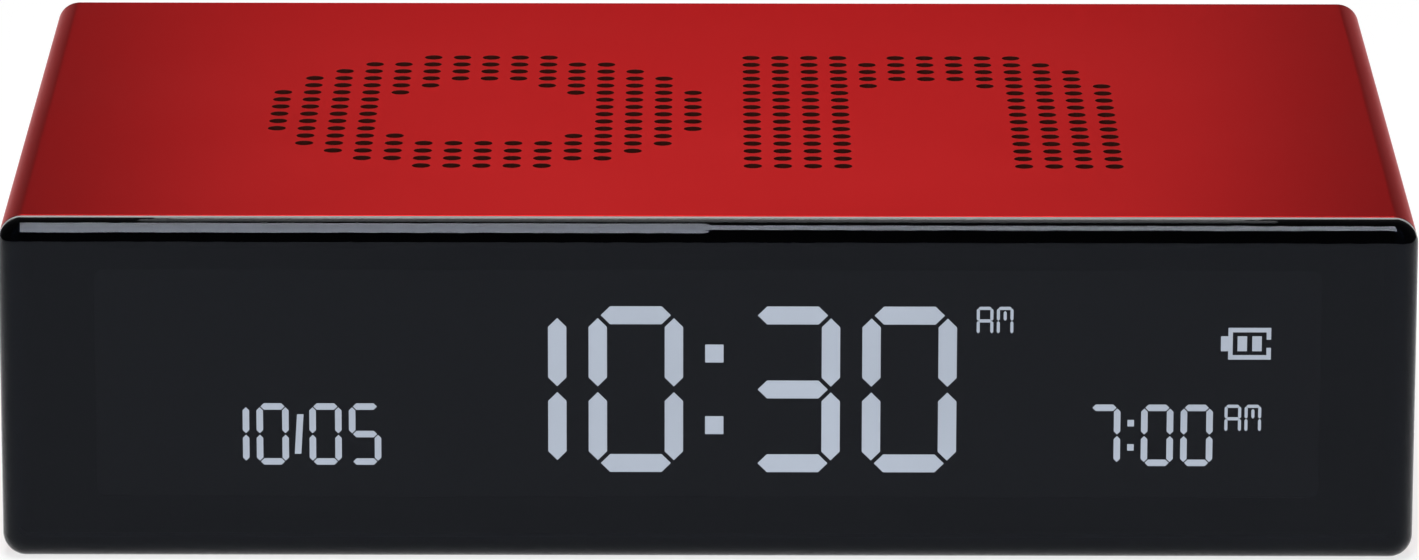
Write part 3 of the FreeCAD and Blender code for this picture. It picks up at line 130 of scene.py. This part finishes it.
# Acrylic, and the lens's coating as a share of its bare reflectance in each colour
ACRYLIC_IOR = 1.49
LENS_REFLECTANCE = (0.31, 0.335, 0.4)
BONDED_REFLECTANCE = (0.02, 0.02, 0.02)

# Light, in metres and degrees. Each top lamp has its first y, its last y and its radiance.
# Each rear lamp has its x, its first and last elevation, its width and its radiance.
WORLD_STRENGTH = 0.06
TOP_LIGHT_HEIGHT = 1.0
TOP_LIGHT_WIDTH = 0.17
LEFT_LIGHTS = ((-0.884, -0.6, 11.0), (-0.6, -0.28, 10.0), (-0.28, 0.0, 8.0), (0.0, 0.289, 6.0))
RIGHT_LIGHTS = ((-0.433, -0.2, 10.0), (-0.2, 0.071, 8.0))
REAR_LIGHT_REACH = 0.5
REAR_LIGHTS = (
    (0.0, 10, 15.6, 0.24, 0.4),
    (0.0, 15.6, 23, 0.175, 1.35),
    (0.0, 23, 35, 0.17, 0.42),
    (0.0, 35, 60, 0.18, 0.6),
    (-0.22, 0.5, 13, 0.2, 0.33),
    (0.22, 0.5, 13, 0.2, 0.33),
)
LAMP_FACTOR = 4.0
FLOOR_HALF = 4.0
FLOOR_SEGMENTS = 8
FLOOR_GLOW = 0.745
FLOOR_SHADE = 0.32
FLOOR_COLOUR = 0.8


# Mesh building

def ring(inset, corner, y):
    """Points of a rounded rectangle set in from the case's outline, in metres."""
    half_width = CASE_WIDTH / 2 - inset - corner
    half_height = CASE_HEIGHT / 2 - inset - corner
    points = []
    for quarter, (side, rise) in enumerate(((1, -1), (1, 1), (-1, 1), (-1, -1))):
        for step in range(CORNER_STEPS + 1):
            angle = math.pi / 2 * (quarter - 1 + step / CORNER_STEPS)
            x = side * half_width + corner * math.cos(angle)
            z = MID_Z + rise * half_height + corner * math.sin(angle)
            points.append(Vector((x, y, z)) * MM)
    return points


def rounded_rings(radius, outer_corner, start_y, way):
    """Rings of a quarter round that turns the case's outline in by its radius."""
    rings = []
    for step in range(ROUND_STEPS + 1):
        angle = math.pi / 2 * step / ROUND_STEPS
        inset = radius * (1 - math.cos(angle))
        rings.append(ring(inset, outer_corner - inset, start_y + way * radius * math.sin(angle)))
    return rings


def ring_body(name, rings, looped):
    """A closed mesh through rings of equal counts, capped, or looped back to its first ring."""
    mesh = bmesh.new()
    loops = [[mesh.verts.new(point) for point in points] for points in rings]
    pairs = list(zip(loops, loops[1:]))
    if looped:
        pairs.append((loops[-1], loops[0]))
    else:
        mesh.faces.new(loops[0])
        mesh.faces.new(loops[-1])
    for first, second in pairs:
        for index in range(len(first)):
            after = (index + 1) % len(first)
            mesh.faces.new((first[index], first[after], second[after], second[index]))
    return finished_mesh(name, mesh)


def finished_mesh(name, mesh):
    bmesh.ops.recalc_face_normals(mesh, faces=mesh.faces)
    data = bpy.data.meshes.new(name)
    mesh.to_mesh(data)
    mesh.free()
    piece = bpy.data.objects.new(name, data)
    bpy.context.scene.collection.objects.link(piece)
    return piece


def smoothed(piece):
    """Shades curved faces smooth and keeps flat faces flat."""
    piece.data.shade_smooth()
    piece.data.set_sharp_from_angle(angle=SHARP_ANGLE)
    weights = piece.modifiers.new("flat_faces", "WEIGHTED_NORMAL")
    weights.keep_sharp = True
    return piece


def applied(piece):
    """Turns the piece's modifiers into its mesh."""
    evaluated = piece.evaluated_get(bpy.context.evaluated_depsgraph_get())
    data = bpy.data.meshes.new_from_object(evaluated)
    piece.modifiers.clear()
    piece.data = data
    return piece


# Rules of the letters

def in_o(column, row):
    centre = (O_COLUMNS - 1) / 2
    middle = (LETTER_ROWS - 1) / 2
    outer = math.hypot(column - centre, row - middle)
    inner = math.hypot(column - centre, row - middle - O_INNER_DROP)
    return outer < O_OUTER_RADIUS and inner > O_INNER_RADIUS


def in_n(column, row):
    if column < STEM_COLUMNS:
        return True
    if row < N_OPENING_ROW:
        opening = math.hypot(column - N_OPENING_COLUMN, row - N_OPENING_ROW) < N_OPENING_RADIUS
    else:
        opening = abs(column - N_OPENING_COLUMN) < N_OPENING_RADIUS
    if row < N_ARCH_ROW:
        arch = math.hypot(column - N_ARCH_COLUMN, row - N_ARCH_ROW) < N_ARCH_RADIUS
    else:
        arch = column < N_COLUMNS
    return arch and not opening


def in_f(column, row):
    stem = F_STEM_START <= column < F_STEM_START + STEM_COLUMNS and row >= 0
    bar = row in F_BAR_ROWS
    reach = math.hypot(column - F_COLUMNS + 1, row)
    hook = row < 0 and F_HOOK_INNER < reach < F_HOOK_OUTER
    return stem or bar or hook


def word_places(letters, first_row, centre, way):
    """Hole centres of a word in millimetres; way is -1 where it is read from below."""
    dots = []
    start = 0
    for inside, columns in letters:
        for column in range(columns):
            for row in range(first_row, LETTER_ROWS):
                if inside(column, row):
                    dots.append((start + column, row))
        start += columns + LETTER_GAP
    middle_row = (first_row + LETTER_ROWS - 1) / 2
    middle_column = (start - LETTER_GAP - 1) / 2
    places = []
    for column, row in dots:
        x = centre[0] + (column - middle_column) * HOLE_PITCH
        y = centre[1] + (middle_row - row) * HOLE_PITCH
        places.append((way * x, y))
    return places


def hole_cutters(name, places, face_z, way):
    """Round rods with a flared mouth, which cut the wall whose outer face is at face_z."""
    levels = (
        (HOLE_RADIUS + HOLE_FLARE + OVERCUT, face_z + way * OVERCUT),
        (HOLE_RADIUS, face_z - way * HOLE_FLARE),
        (HOLE_RADIUS, face_z - way * (WALL + OVERCUT)),
    )
    mesh = bmesh.new()
    for x, y in places:
        loops = []
        for radius, z in levels:
            loop = []
            for step in range(HOLE_STEPS):
                angle = 2 * math.pi * step / HOLE_STEPS
                point = Vector((x + radius * math.cos(angle), y + radius * math.sin(angle), z))
                loop.append(mesh.verts.new(point * MM))
            loops.append(loop)
        mesh.faces.new(loops[0])
        mesh.faces.new(loops[-1])
        for first, second in zip(loops, loops[1:]):
            for index in range(HOLE_STEPS):
                after = (index + 1) % HOLE_STEPS
                mesh.faces.new((first[index], first[after], second[after], second[index]))
    return finished_mesh(name, mesh)


# Pieces that stand for plainer solids

def sleeve():
    """The metal sleeve with its two words of holes."""
    seat_inset = WALL - SEAT_STEP
    rings = [ring(SEAM_CHAMFER, CASE_CORNER - SEAM_CHAMFER, SEAM_Y)]
    rings.append(ring(0, CASE_CORNER, SEAM_Y + SEAM_CHAMFER))
    rings += rounded_rings(BACK_ROUND, CASE_CORNER, BACK_Y - BACK_ROUND, 1)
    rings.append(ring(seat_inset, INNER_CORNER + SEAT_STEP, BACK_Y))
    rings.append(ring(seat_inset, INNER_CORNER + SEAT_STEP, SEAT_Y))
    rings.append(ring(WALL, INNER_CORNER, SEAT_Y))
    rings.append(ring(WALL, INNER_CORNER, SEAM_Y))
    piece = ring_body("red_sleeve", rings, True)
    on_word = word_places([(in_o, O_COLUMNS), (in_n, N_COLUMNS)], 0, ON_CENTRE, 1)
    off_letters = [(in_o, O_COLUMNS), (in_f, F_COLUMNS), (in_f, F_COLUMNS)]
    off_word = word_places(off_letters, -F_HOOK_ROWS, OFF_CENTRE, -1)
    cutters = [
        hole_cutters("on_cutters", on_word, CASE_HEIGHT, 1),
        hole_cutters("off_cutters", off_word, 0.0, -1),
    ]
    for cutter in cutters:
        cut = piece.modifiers.new(cutter.name, "BOOLEAN")
        cut.operation = "DIFFERENCE"
        cut.solver = "MANIFOLD"
        cut.object = cutter
    applied(piece)
    for cutter in cutters:
        bpy.data.objects.remove(cutter)
    smoothed(piece)
    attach(piece, "case")
    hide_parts("case_sleeve")
    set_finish(piece, "sleeve_red")
    return piece


def lens():
    """The smoked front block, with a plug that seats in the sleeve."""
    plug_inset = WALL + PLUG_GAP
    plug_corner = INNER_CORNER - PLUG_GAP
    rings = [ring(plug_inset + PRINT_BORDER, plug_corner, PLUG_END_Y)]
    rings.append(ring(plug_inset, plug_corner, PLUG_END_Y))
    rings.append(ring(plug_inset, plug_corner, SEAM_Y))
    back = rounded_rings(LENS_BACK_ROUND, CASE_CORNER, SEAM_Y - LENS_BACK_ROUND, 1)
    rings += back[::-1]
    rings.append(ring(0, CASE_CORNER, SEAM_Y - LENS_BACK_ROUND - HIGHLIGHT_BAND_WIDTH))
    rings += rounded_rings(LENS_FRONT_ROUND, CASE_CORNER, FRONT_Y + LENS_FRONT_ROUND, -1)
    piece = ring_body("smoked_front", rings, False)
    smoothed(piece)
    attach(piece, "case")
    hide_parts("front_lens")
    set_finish(piece, "lens_smoke")
    return piece


# Material building

def new_material(name, colour, roughness, metallic=0.0):
    material = bpy.data.materials.new(name)
    material.use_nodes = True
    tree = material.node_tree
    shader = tree.nodes["Principled BSDF"]
    shader.inputs["Base Color"].default_value = (*colour, 1)
    shader.inputs["Roughness"].default_value = roughness
    shader.inputs["Metallic"].default_value = metallic
    return material, tree, shader


def place_of(tree, stretch=(1, 1, 1)):
    """The object's own coordinates in metres, stretched along each axis."""
    source = tree.nodes.new("ShaderNodeTexCoord")
    mapping = tree.nodes.new("ShaderNodeMapping")
    mapping.inputs["Scale"].default_value = stretch
    tree.links.new(source.outputs["Object"], mapping.inputs["Vector"])
    return mapping.outputs["Vector"]


def grain(tree, scale, detail, stretch=(1, 1, 1)):
    """Noise with scale grains to the metre."""
    noise = tree.nodes.new("ShaderNodeTexNoise")
    noise.inputs["Scale"].default_value = scale
    noise.inputs["Detail"].default_value = detail
    tree.links.new(place_of(tree, stretch), noise.inputs["Vector"])
    return noise.outputs["Fac"]


def remapped(tree, value, low, high):
    """Spreads the middle of a noise between two values."""
    spread = tree.nodes.new("ShaderNodeMapRange")
    spread.inputs["From Min"].default_value = NOISE_LOW
    spread.inputs["From Max"].default_value = NOISE_HIGH
    spread.inputs["To Min"].default_value = low
    spread.inputs["To Max"].default_value = high
    tree.links.new(value, spread.inputs["Value"])
    return spread.outputs["Result"]


def uneven_roughness(tree, shader, value, low, high):
    tree.links.new(remapped(tree, value, low, high), shader.inputs["Roughness"])


def uneven_colour(tree, shader, value, dark, light):
    mix = tree.nodes.new("ShaderNodeMix")
    mix.data_type = "RGBA"
    mix.inputs[MIX_FIRST].default_value = (*dark, 1)
    mix.inputs[MIX_SECOND].default_value = (*light, 1)
    tree.links.new(remapped(tree, value, 0, 1), mix.inputs[0])
    tree.links.new(mix.outputs[MIX_RESULT], shader.inputs["Base Color"])


def bumped(tree, shader, height, depth, strength=1.0):
    """Raises the surface by up to depth millimetres."""
    bump = tree.nodes.new("ShaderNodeBump")
    bump.inputs["Distance"].default_value = depth * MM
    bump.inputs["Strength"].default_value = strength
    tree.links.new(height, bump.inputs["Height"])
    tree.links.new(bump.outputs["Normal"], shader.inputs["Normal"])


def shaded(colour, factor):
    return tuple(min(channel * factor, 1.0) for channel in colour)


# Materials

def anodised_red():
    """Bead-blasted aluminium under a red dyed layer."""
    colour = (0.5, 0.016, 0.018)
    material, tree, shader = new_material("anodised_red", colour, 0.45, 1.0)
    shader.inputs["Specular Tint"].default_value = (1.0, 0.44, 0.44, 1)
    fine = grain(tree, 9000, 3)
    broad = grain(tree, 25, 2)
    uneven_colour(tree, shader, fine, shaded(colour, 0.94), shaded(colour, 1.05))
    uneven_roughness(tree, shader, broad, 0.31, 0.35)
    bumped(tree, shader, fine, 0.012, 0.6)
    return material


def hole_wall_painted_shade():
    """The drilled insides of the holes, dull and painted dark brown as the shade that falls inside
    them.
    """
    # Painted shade: this dark brown stands in for the shade inside the holes
    colour = (0.095, 0.018, 0.012)
    material, tree, shader = new_material("hole_wall_painted_shade", colour, 0.7)
    shader.inputs["Specular IOR Level"].default_value = 0.2
    marks = grain(tree, 5000, 2)
    uneven_colour(tree, shader, marks, shaded(colour, 0.8), shaded(colour, 1.15))
    uneven_roughness(tree, shader, marks, 0.6, 0.8)
    bumped(tree, shader, marks, 0.02)
    return material


def smoked_acrylic(name, reflectance):
    """Polished smoked acrylic, whose coating leaves a share of the bare reflectance."""
    material, tree, shader = new_material(name, (0.7, 0.71, 0.73), 0.0)
    shader.inputs["Transmission Weight"].default_value = 1.0
    shader.inputs["IOR"].default_value = ACRYLIC_IOR
    shader.inputs["Specular Tint"].default_value = (*reflectance, 1)
    uneven_roughness(tree, shader, grain(tree, 140, 4), 0.006, 0.012)
    return material


def black_print(name):
    """Opaque ink, as on the back of the lens."""
    colour = (0.003, 0.004, 0.007)
    material, tree, shader = new_material(name, colour, 0.6)
    shader.inputs["Specular IOR Level"].default_value = 0.0
    uneven_roughness(tree, shader, grain(tree, 3000, 2), 0.55, 0.7)
    return material


def matt_edge_painted_highlight():
    """The lens's sawn edge, left matt where it meets the sleeve, and painted light grey as the
    highlight along the seam.
    """
    # Painted highlight: this light grey stands in for the highlight along the seam
    colour = (0.42, 0.43, 0.43)
    material, tree, shader = new_material("matt_edge_painted_highlight", colour, 0.55)
    lines = grain(tree, 4000, 3)
    uneven_colour(tree, shader, lines, shaded(colour, 0.9), shaded(colour, 1.08))
    uneven_roughness(tree, shader, lines, 0.5, 0.62)
    bumped(tree, shader, lines, 0.01)
    return material


def dark_display():
    """The display's glass, which stays dark where no segment is lit."""
    colour = (0.004, 0.0045, 0.006)
    material, tree, shader = new_material("dark_display", colour, 0.4)
    shader.inputs["Specular IOR Level"].default_value = 0.0
    uneven_roughness(tree, shader, grain(tree, 400, 2), 0.35, 0.45)
    return material


def lit_segments():
    """Segments lit from behind, a little uneven over the display."""
    colour = (0.25, 0.28, 0.33)
    material, tree, shader = new_material("lit_segments", colour, 0.5)
    shader.inputs["Emission Color"].default_value = (0.55, 0.605, 0.69, 1)
    level = remapped(tree, grain(tree, 60, 1), 0.94, 1.04)
    tree.links.new(level, shader.inputs["Emission Strength"])
    return material


def moulded(name, colour, roughness, grain_scale, depth):
    """Moulded plastic with a fine spark-eroded texture."""
    material, tree, shader = new_material(name, colour, roughness)
    fine = grain(tree, grain_scale, 3)
    uneven_colour(tree, shader, grain(tree, 90, 3), shaded(colour, 0.88), shaded(colour, 1.12))
    uneven_roughness(tree, shader, fine, roughness - 0.07, roughness + 0.07)
    bumped(tree, shader, fine, depth)
    return material


def metal(name, colour, roughness, stretch):
    """Bare or plated metal with a drawn grain along the unstretched axis."""
    material, tree, shader = new_material(name, colour, roughness, 1.0)
    lines = grain(tree, 1500, 4, stretch)
    uneven_colour(tree, shader, lines, shaded(colour, 0.9), shaded(colour, 1.06))
    uneven_roughness(tree, shader, lines, roughness - 0.06, roughness + 0.08)
    bumped(tree, shader, lines, 0.004)
    return material


def film(name, colour, roughness, specular):
    """Thin film, tape, paper or rubber with soft waves."""
    material, tree, shader = new_material(name, colour, roughness)
    shader.inputs["Specular IOR Level"].default_value = specular
    waves = grain(tree, 220, 3)
    uneven_colour(tree, shader, grain(tree, 1800, 4), shaded(colour, 0.93), shaded(colour, 1.05))
    uneven_roughness(tree, shader, waves, roughness - 0.05, roughness + 0.05)
    bumped(tree, shader, waves, 0.02)
    return material


def clear_guide():
    material, tree, shader = new_material("clear_guide", (0.9, 0.93, 0.95), 0.05)
    shader.inputs["Transmission Weight"].default_value = 0.9
    shader.inputs["IOR"].default_value = ACRYLIC_IOR
    dots = grain(tree, 2500, 1)
    uneven_roughness(tree, shader, dots, 0.03, 0.2)
    bumped(tree, shader, dots, 0.01)
    return material


def woven_cloth():
    """Fine square weave of the dust cloths under the holes."""
    colour = (0.012, 0.008, 0.007)
    material, tree, shader = new_material("woven_cloth", colour, 0.9)
    shader.inputs["Specular IOR Level"].default_value = 0.15
    shader.inputs["Sheen Weight"].default_value = 0.1
    threads = []
    for direction in ("X", "Y"):
        wave = tree.nodes.new("ShaderNodeTexWave")
        wave.bands_direction = direction
        wave.inputs["Scale"].default_value = 1300
        wave.inputs["Distortion"].default_value = 0.6
        tree.links.new(place_of(tree), wave.inputs["Vector"])
        threads.append(wave.outputs["Fac"])
    weave = tree.nodes.new("ShaderNodeMath")
    weave.operation = "MULTIPLY"
    tree.links.new(threads[0], weave.inputs[0])
    tree.links.new(threads[1], weave.inputs[1])
    uneven_colour(tree, shader, weave.outputs["Value"], shaded(colour, 0.5), shaded(colour, 1.6))
    bumped(tree, shader, weave.outputs["Value"], 0.08)
    return material


def circuit_board():
    """Green solder mask with copper tracks showing through."""
    colour = (0.008, 0.085, 0.03)
    material, tree, shader = new_material("circuit_board", colour, 0.32)
    tracks = tree.nodes.new("ShaderNodeTexBrick")
    tracks.inputs["Scale"].default_value = 260
    tracks.inputs["Mortar Size"].default_value = 0.06
    tracks.inputs["Color1"].default_value = (*colour, 1)
    tracks.inputs["Color2"].default_value = (*shaded(colour, 0.9), 1)
    tracks.inputs["Mortar"].default_value = (0.02, 0.15, 0.05, 1)
    tree.links.new(place_of(tree), tracks.inputs["Vector"])
    tree.links.new(tracks.outputs["Color"], shader.inputs["Base Color"])
    bumped(tree, shader, tracks.outputs["Fac"], 0.03)
    uneven_roughness(tree, shader, grain(tree, 700, 3), 0.27, 0.38)
    return material


def striped_cable():
    """Flat cable with its conductors as fine lines."""
    colour = (0.75, 0.77, 0.78)
    material, tree, shader = new_material("striped_cable", colour, 0.35)
    lines = tree.nodes.new("ShaderNodeTexWave")
    lines.bands_direction = "X"
    lines.inputs["Scale"].default_value = 300
    tree.links.new(place_of(tree), lines.inputs["Vector"])
    uneven_colour(tree, shader, lines.outputs["Fac"], (0.42, 0.43, 0.44), colour)
    bumped(tree, shader, lines.outputs["Fac"], 0.04)
    return material


def foil_pouch():
    """Laminated foil of the cell, with a soft crinkle."""
    colour = (0.66, 0.67, 0.68)
    material, tree, shader = new_material("foil_pouch", colour, 0.32, 0.9)
    crinkle = grain(tree, 120, 6)
    uneven_colour(tree, shader, crinkle, shaded(colour, 0.85), shaded(colour, 1.05))
    uneven_roughness(tree, shader, crinkle, 0.26, 0.4)
    bumped(tree, shader, crinkle, 0.15)
    return material


def finishes():
    """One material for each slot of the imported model."""
    return {
        "sleeve_red": anodised_red(),
        "lens_smoke": smoked_acrylic("smoked_lens", LENS_REFLECTANCE),
        "mask_black": black_print("black_print"),
        "tape_black": film("tape_black", (0.015, 0.015, 0.015), 0.8, 0.3),
        "frame_black": moulded("frame_black", (0.014, 0.014, 0.014), 0.5, 5000, 0.02),
        "screw_steel": metal("screw_steel", (0.62, 0.62, 0.6), 0.3, (1, 1, 1)),
        "lcd_black": dark_display(),
        "display_lit": lit_segments(),
        "guide_clear": clear_guide(),
        "reflector_white": film("reflector_white", (0.85, 0.85, 0.84), 0.6, 0.4),
        "board_green": circuit_board(),
        "led_white": film("led_white", (0.85, 0.8, 0.5), 0.4, 0.5),
        "flex_amber": film("flex_amber", (0.42, 0.17, 0.025), 0.35, 0.5),
        "cloth_black": woven_cloth(),
        "chassis_black": moulded("chassis_black", (0.018, 0.018, 0.02), 0.52, 4000, 0.03),
        "chip_black": moulded("chip_black", (0.014, 0.014, 0.014), 0.6, 9000, 0.01),
        "can_steel": metal("can_steel", (0.62, 0.62, 0.63), 0.25, (4, 1, 4)),
        "can_aluminium": metal("can_aluminium", (0.72, 0.72, 0.73), 0.28, (4, 4, 1)),
        "cell_silver": foil_pouch(),
        "tape_white": film("tape_white", (0.78, 0.78, 0.75), 0.7, 0.3),
        "plug_white": moulded("plug_white", (0.8, 0.79, 0.73), 0.45, 4000, 0.01),
        "lead_red": film("lead_red", (0.45, 0.012, 0.012), 0.45, 0.5),
        "lead_black": film("lead_black", (0.013, 0.013, 0.013), 0.45, 0.5),
        "buzzer_black": moulded("buzzer_black", (0.015, 0.015, 0.015), 0.42, 4000, 0.02),
        "disc_brass": metal("disc_brass", (0.75, 0.55, 0.25), 0.24, (1, 6, 1)),
        "crystal_white": moulded("crystal_white", (0.8, 0.78, 0.72), 0.4, 6000, 0.01),
        "sensor_case": moulded("sensor_case", (0.028, 0.028, 0.03), 0.45, 5000, 0.01),
        "contact_gold": metal("contact_gold", (0.85, 0.62, 0.25), 0.2, (1, 4, 1)),
        "ball_steel": metal("ball_steel", (0.76, 0.76, 0.77), 0.12, (1, 1, 1)),
        "cover_black": moulded("cover_black", (0.02, 0.02, 0.022), 0.55, 3500, 0.04),
        "screw_black": metal("screw_black", (0.07, 0.07, 0.072), 0.38, (1, 1, 1)),
        "mark_white": film("mark_white", (0.68, 0.68, 0.68), 0.5, 0.4),
        "button_grey": moulded("button_grey", (0.042, 0.042, 0.047), 0.6, 6000, 0.02),
        "plunger_black": moulded("plunger_black", (0.02, 0.02, 0.02), 0.45, 4000, 0.01),
        "switch_case": metal("switch_case", (0.55, 0.55, 0.56), 0.3, (1, 1, 5)),
        "socket_steel": metal("socket_steel", (0.62, 0.62, 0.63), 0.26, (1, 6, 1)),
        "tongue_black": moulded("tongue_black", (0.02, 0.02, 0.02), 0.45, 4000, 0.01),
        "ribbon_white": striped_cable(),
    }


def dress(pieces):
    """Gives every solid and piece the material of its slot."""
    materials = finishes()
    for node in frame["nodes"].values():
        for index, slot in enumerate(node.material_slots):
            node.data.materials[index] = materials[slot.material.name.split(".")[0]]
    for piece in pieces:
        piece.data.materials.clear()
        piece.data.materials.append(materials[piece["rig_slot"]])


def paint(piece, material, chosen):
    """Gives a material to the faces whose corners, in millimetres, meet a rule."""
    piece.data.materials.append(material)
    for face in piece.data.polygons:
        if chosen([piece.data.vertices[index].co / MM for index in face.vertices]):
            face.material_index = len(piece.data.materials) - 1


def between(start, end):
    """A rule for the faces that lie between two depths."""
    return lambda corners: all(start - FLAT < corner.y < end + FLAT for corner in corners)


def in_wall(corners):
    """Whether a face lies within the thickness of the upper or the lower wall."""
    centre = sum(corners, Vector()) / len(corners)
    depth = min(centre.z, CASE_HEIGHT - centre.z)
    inside = abs(centre.x) < CASE_WIDTH / 2 - 2 * WALL and SEAM_Y + WALL < centre.y < SEAT_Y - WALL
    return inside and FLAT < depth < WALL - FLAT


def finish_sleeve(piece):
    """Paints shade on the insides of the holes, and inks black the end that meets the lens, which
    also paints the shade of the gap at the seam.
    """
    paint(piece, hole_wall_painted_shade(), in_wall)
    # The black on the sleeve's end is partly adhesive ink and partly painted shade of the gap at the
    # seam
    paint(piece, black_print("seam_ink_and_painted_shade"), between(SEAM_Y, SEAM_Y))


def finish_lens(piece):
    """Makes the lens's edge at the seam matt and paints a highlight on it, inks its rim and bonds its
    back to the display.
    """
    paint(piece, matt_edge_painted_highlight(), between(SEAM_Y - LENS_BACK_ROUND - HIGHLIGHT_BAND_WIDTH, SEAM_Y))
    paint(piece, black_print("rim_print"), between(SEAM_Y, PLUG_END_Y))
    piece.data.materials.append(smoked_acrylic("bonded_back", BONDED_REFLECTANCE))
    piece.data.polygons[0].material_index = len(piece.data.materials) - 1


# Surroundings

def floor_material():
    """White to the eye and to gloss and glass, and still darker in the object's shadow."""
    material = bpy.data.materials.new("studio_floor")
    material.use_nodes = True
    tree = material.node_tree
    tree.nodes.clear()
    output = tree.nodes.new("ShaderNodeOutputMaterial")
    rays = tree.nodes.new("ShaderNodeLightPath")
    seen = tree.nodes.new("ShaderNodeMath")
    seen.operation = "MAXIMUM"
    mirrored = tree.nodes.new("ShaderNodeMath")
    mirrored.operation = "MAXIMUM"
    tree.links.new(rays.outputs["Is Glossy Ray"], mirrored.inputs[0])
    tree.links.new(rays.outputs["Is Transmission Ray"], mirrored.inputs[1])
    tree.links.new(rays.outputs["Is Camera Ray"], seen.inputs[0])
    tree.links.new(mirrored.outputs["Value"], seen.inputs[1])
    plain = tree.nodes.new("ShaderNodeBsdfDiffuse")
    plain.inputs["Color"].default_value = (FLOOR_COLOUR, FLOOR_COLOUR, FLOOR_COLOUR, 1)
    shade = tree.nodes.new("ShaderNodeBsdfDiffuse")
    shade.inputs["Color"].default_value = (FLOOR_SHADE, FLOOR_SHADE, FLOOR_SHADE, 1)
    glow = tree.nodes.new("ShaderNodeEmission")
    glow.inputs["Strength"].default_value = FLOOR_GLOW
    bright = tree.nodes.new("ShaderNodeAddShader")
    tree.links.new(shade.outputs["BSDF"], bright.inputs[0])
    tree.links.new(glow.outputs["Emission"], bright.inputs[1])
    mix = tree.nodes.new("ShaderNodeMixShader")
    tree.links.new(seen.outputs["Value"], mix.inputs[0])
    tree.links.new(plain.outputs["BSDF"], mix.inputs[1])
    tree.links.new(bright.outputs["Shader"], mix.inputs[2])
    tree.links.new(mix.outputs["Shader"], output.inputs["Surface"])
    return material


def floor():
    mesh = bmesh.new()
    bmesh.ops.create_grid(mesh, x_segments=FLOOR_SEGMENTS, y_segments=FLOOR_SEGMENTS, size=FLOOR_HALF)
    data = bpy.data.meshes.new("studio_floor")
    mesh.to_mesh(data)
    mesh.free()
    piece = bpy.data.objects.new("studio_floor", data)
    bpy.context.scene.collection.objects.link(piece)
    data.materials.append(floor_material())


def lamp(name, place, aim, size, radiance):
    """A soft rectangular lamp that faces the aim."""
    data = bpy.data.lights.new(name, "AREA")
    data.shape = "RECTANGLE"
    data.size, data.size_y = size
    data.energy = LAMP_FACTOR * size[0] * size[1] * radiance
    light = bpy.data.objects.new(name, data)
    bpy.context.scene.collection.objects.link(light)
    light.location = place
    direction = Vector(aim) - Vector(place)
    light.rotation_euler = direction.to_track_quat("-Z", "Y").to_euler()
    light.visible_camera = False


def top_lamps(name, x, parts):
    """A row of lamps overhead that face down, each from one y to another with its radiance."""
    for index, (start, end, radiance) in enumerate(parts):
        middle = (start + end) / 2
        size = (TOP_LIGHT_WIDTH, end - start)
        lamp(f"{name}_{index}", (x, middle, TOP_LIGHT_HEIGHT), (x, middle, 0), size, radiance)


def rear_lamps():
    """Lamps behind the object, each from one elevation to another as the lens's top edge sees it."""
    edge = Vector((0, SEAM_Y, CASE_HEIGHT)) * MM
    for index, (x, start, end, width, radiance) in enumerate(REAR_LIGHTS):
        elevation = math.radians((start + end) / 2)
        reach = REAR_LIGHT_REACH * Vector((0, math.cos(elevation), math.sin(elevation)))
        height = 2 * REAR_LIGHT_REACH * math.tan(math.radians(end - start) / 2)
        place = edge + reach + Vector((x, 0, 0))
        lamp(f"rear_light_{index}", place, edge, (width, height), radiance)


def world():
    surroundings = bpy.data.worlds.new("studio")
    surroundings.use_nodes = True
    background = surroundings.node_tree.nodes["Background"]
    background.inputs["Color"].default_value = (1, 1, 1, 1)
    background.inputs["Strength"].default_value = WORLD_STRENGTH
    bpy.context.scene.world = surroundings


def camera():
    data = bpy.data.cameras.new("view")
    data.sensor_fit = "HORIZONTAL"
    data.sensor_width = SENSOR_WIDTH
    data.lens = SENSOR_WIDTH * FOCAL_PIXELS / IMAGE_WIDTH
    data.shift_x = CAMERA_SHIFT
    data.clip_start = CLIP_NEAR
    data.clip_end = CLIP_FAR
    viewer = bpy.data.objects.new("view", data)
    bpy.context.scene.collection.objects.link(viewer)
    tilt = Matrix.Rotation(math.pi / 2 - CAMERA_PITCH, 4, "X")
    roll = Matrix.Rotation(CAMERA_ROLL, 4, "Z")
    viewer.matrix_world = Matrix.Translation(CAMERA_PLACE) @ tilt @ roll
    bpy.context.scene.camera = viewer


front = lens()
shell = sleeve()
dress([shell, front])
finish_sleeve(shell)
finish_lens(front)
floor()
top_lamps("left_light", -TOP_LIGHT_WIDTH / 2, LEFT_LIGHTS)
top_lamps("right_light", TOP_LIGHT_WIDTH / 2, RIGHT_LIGHTS)
rear_lamps()
world()
camera()
bpy.context.scene.view_settings.view_transform = "Standard"
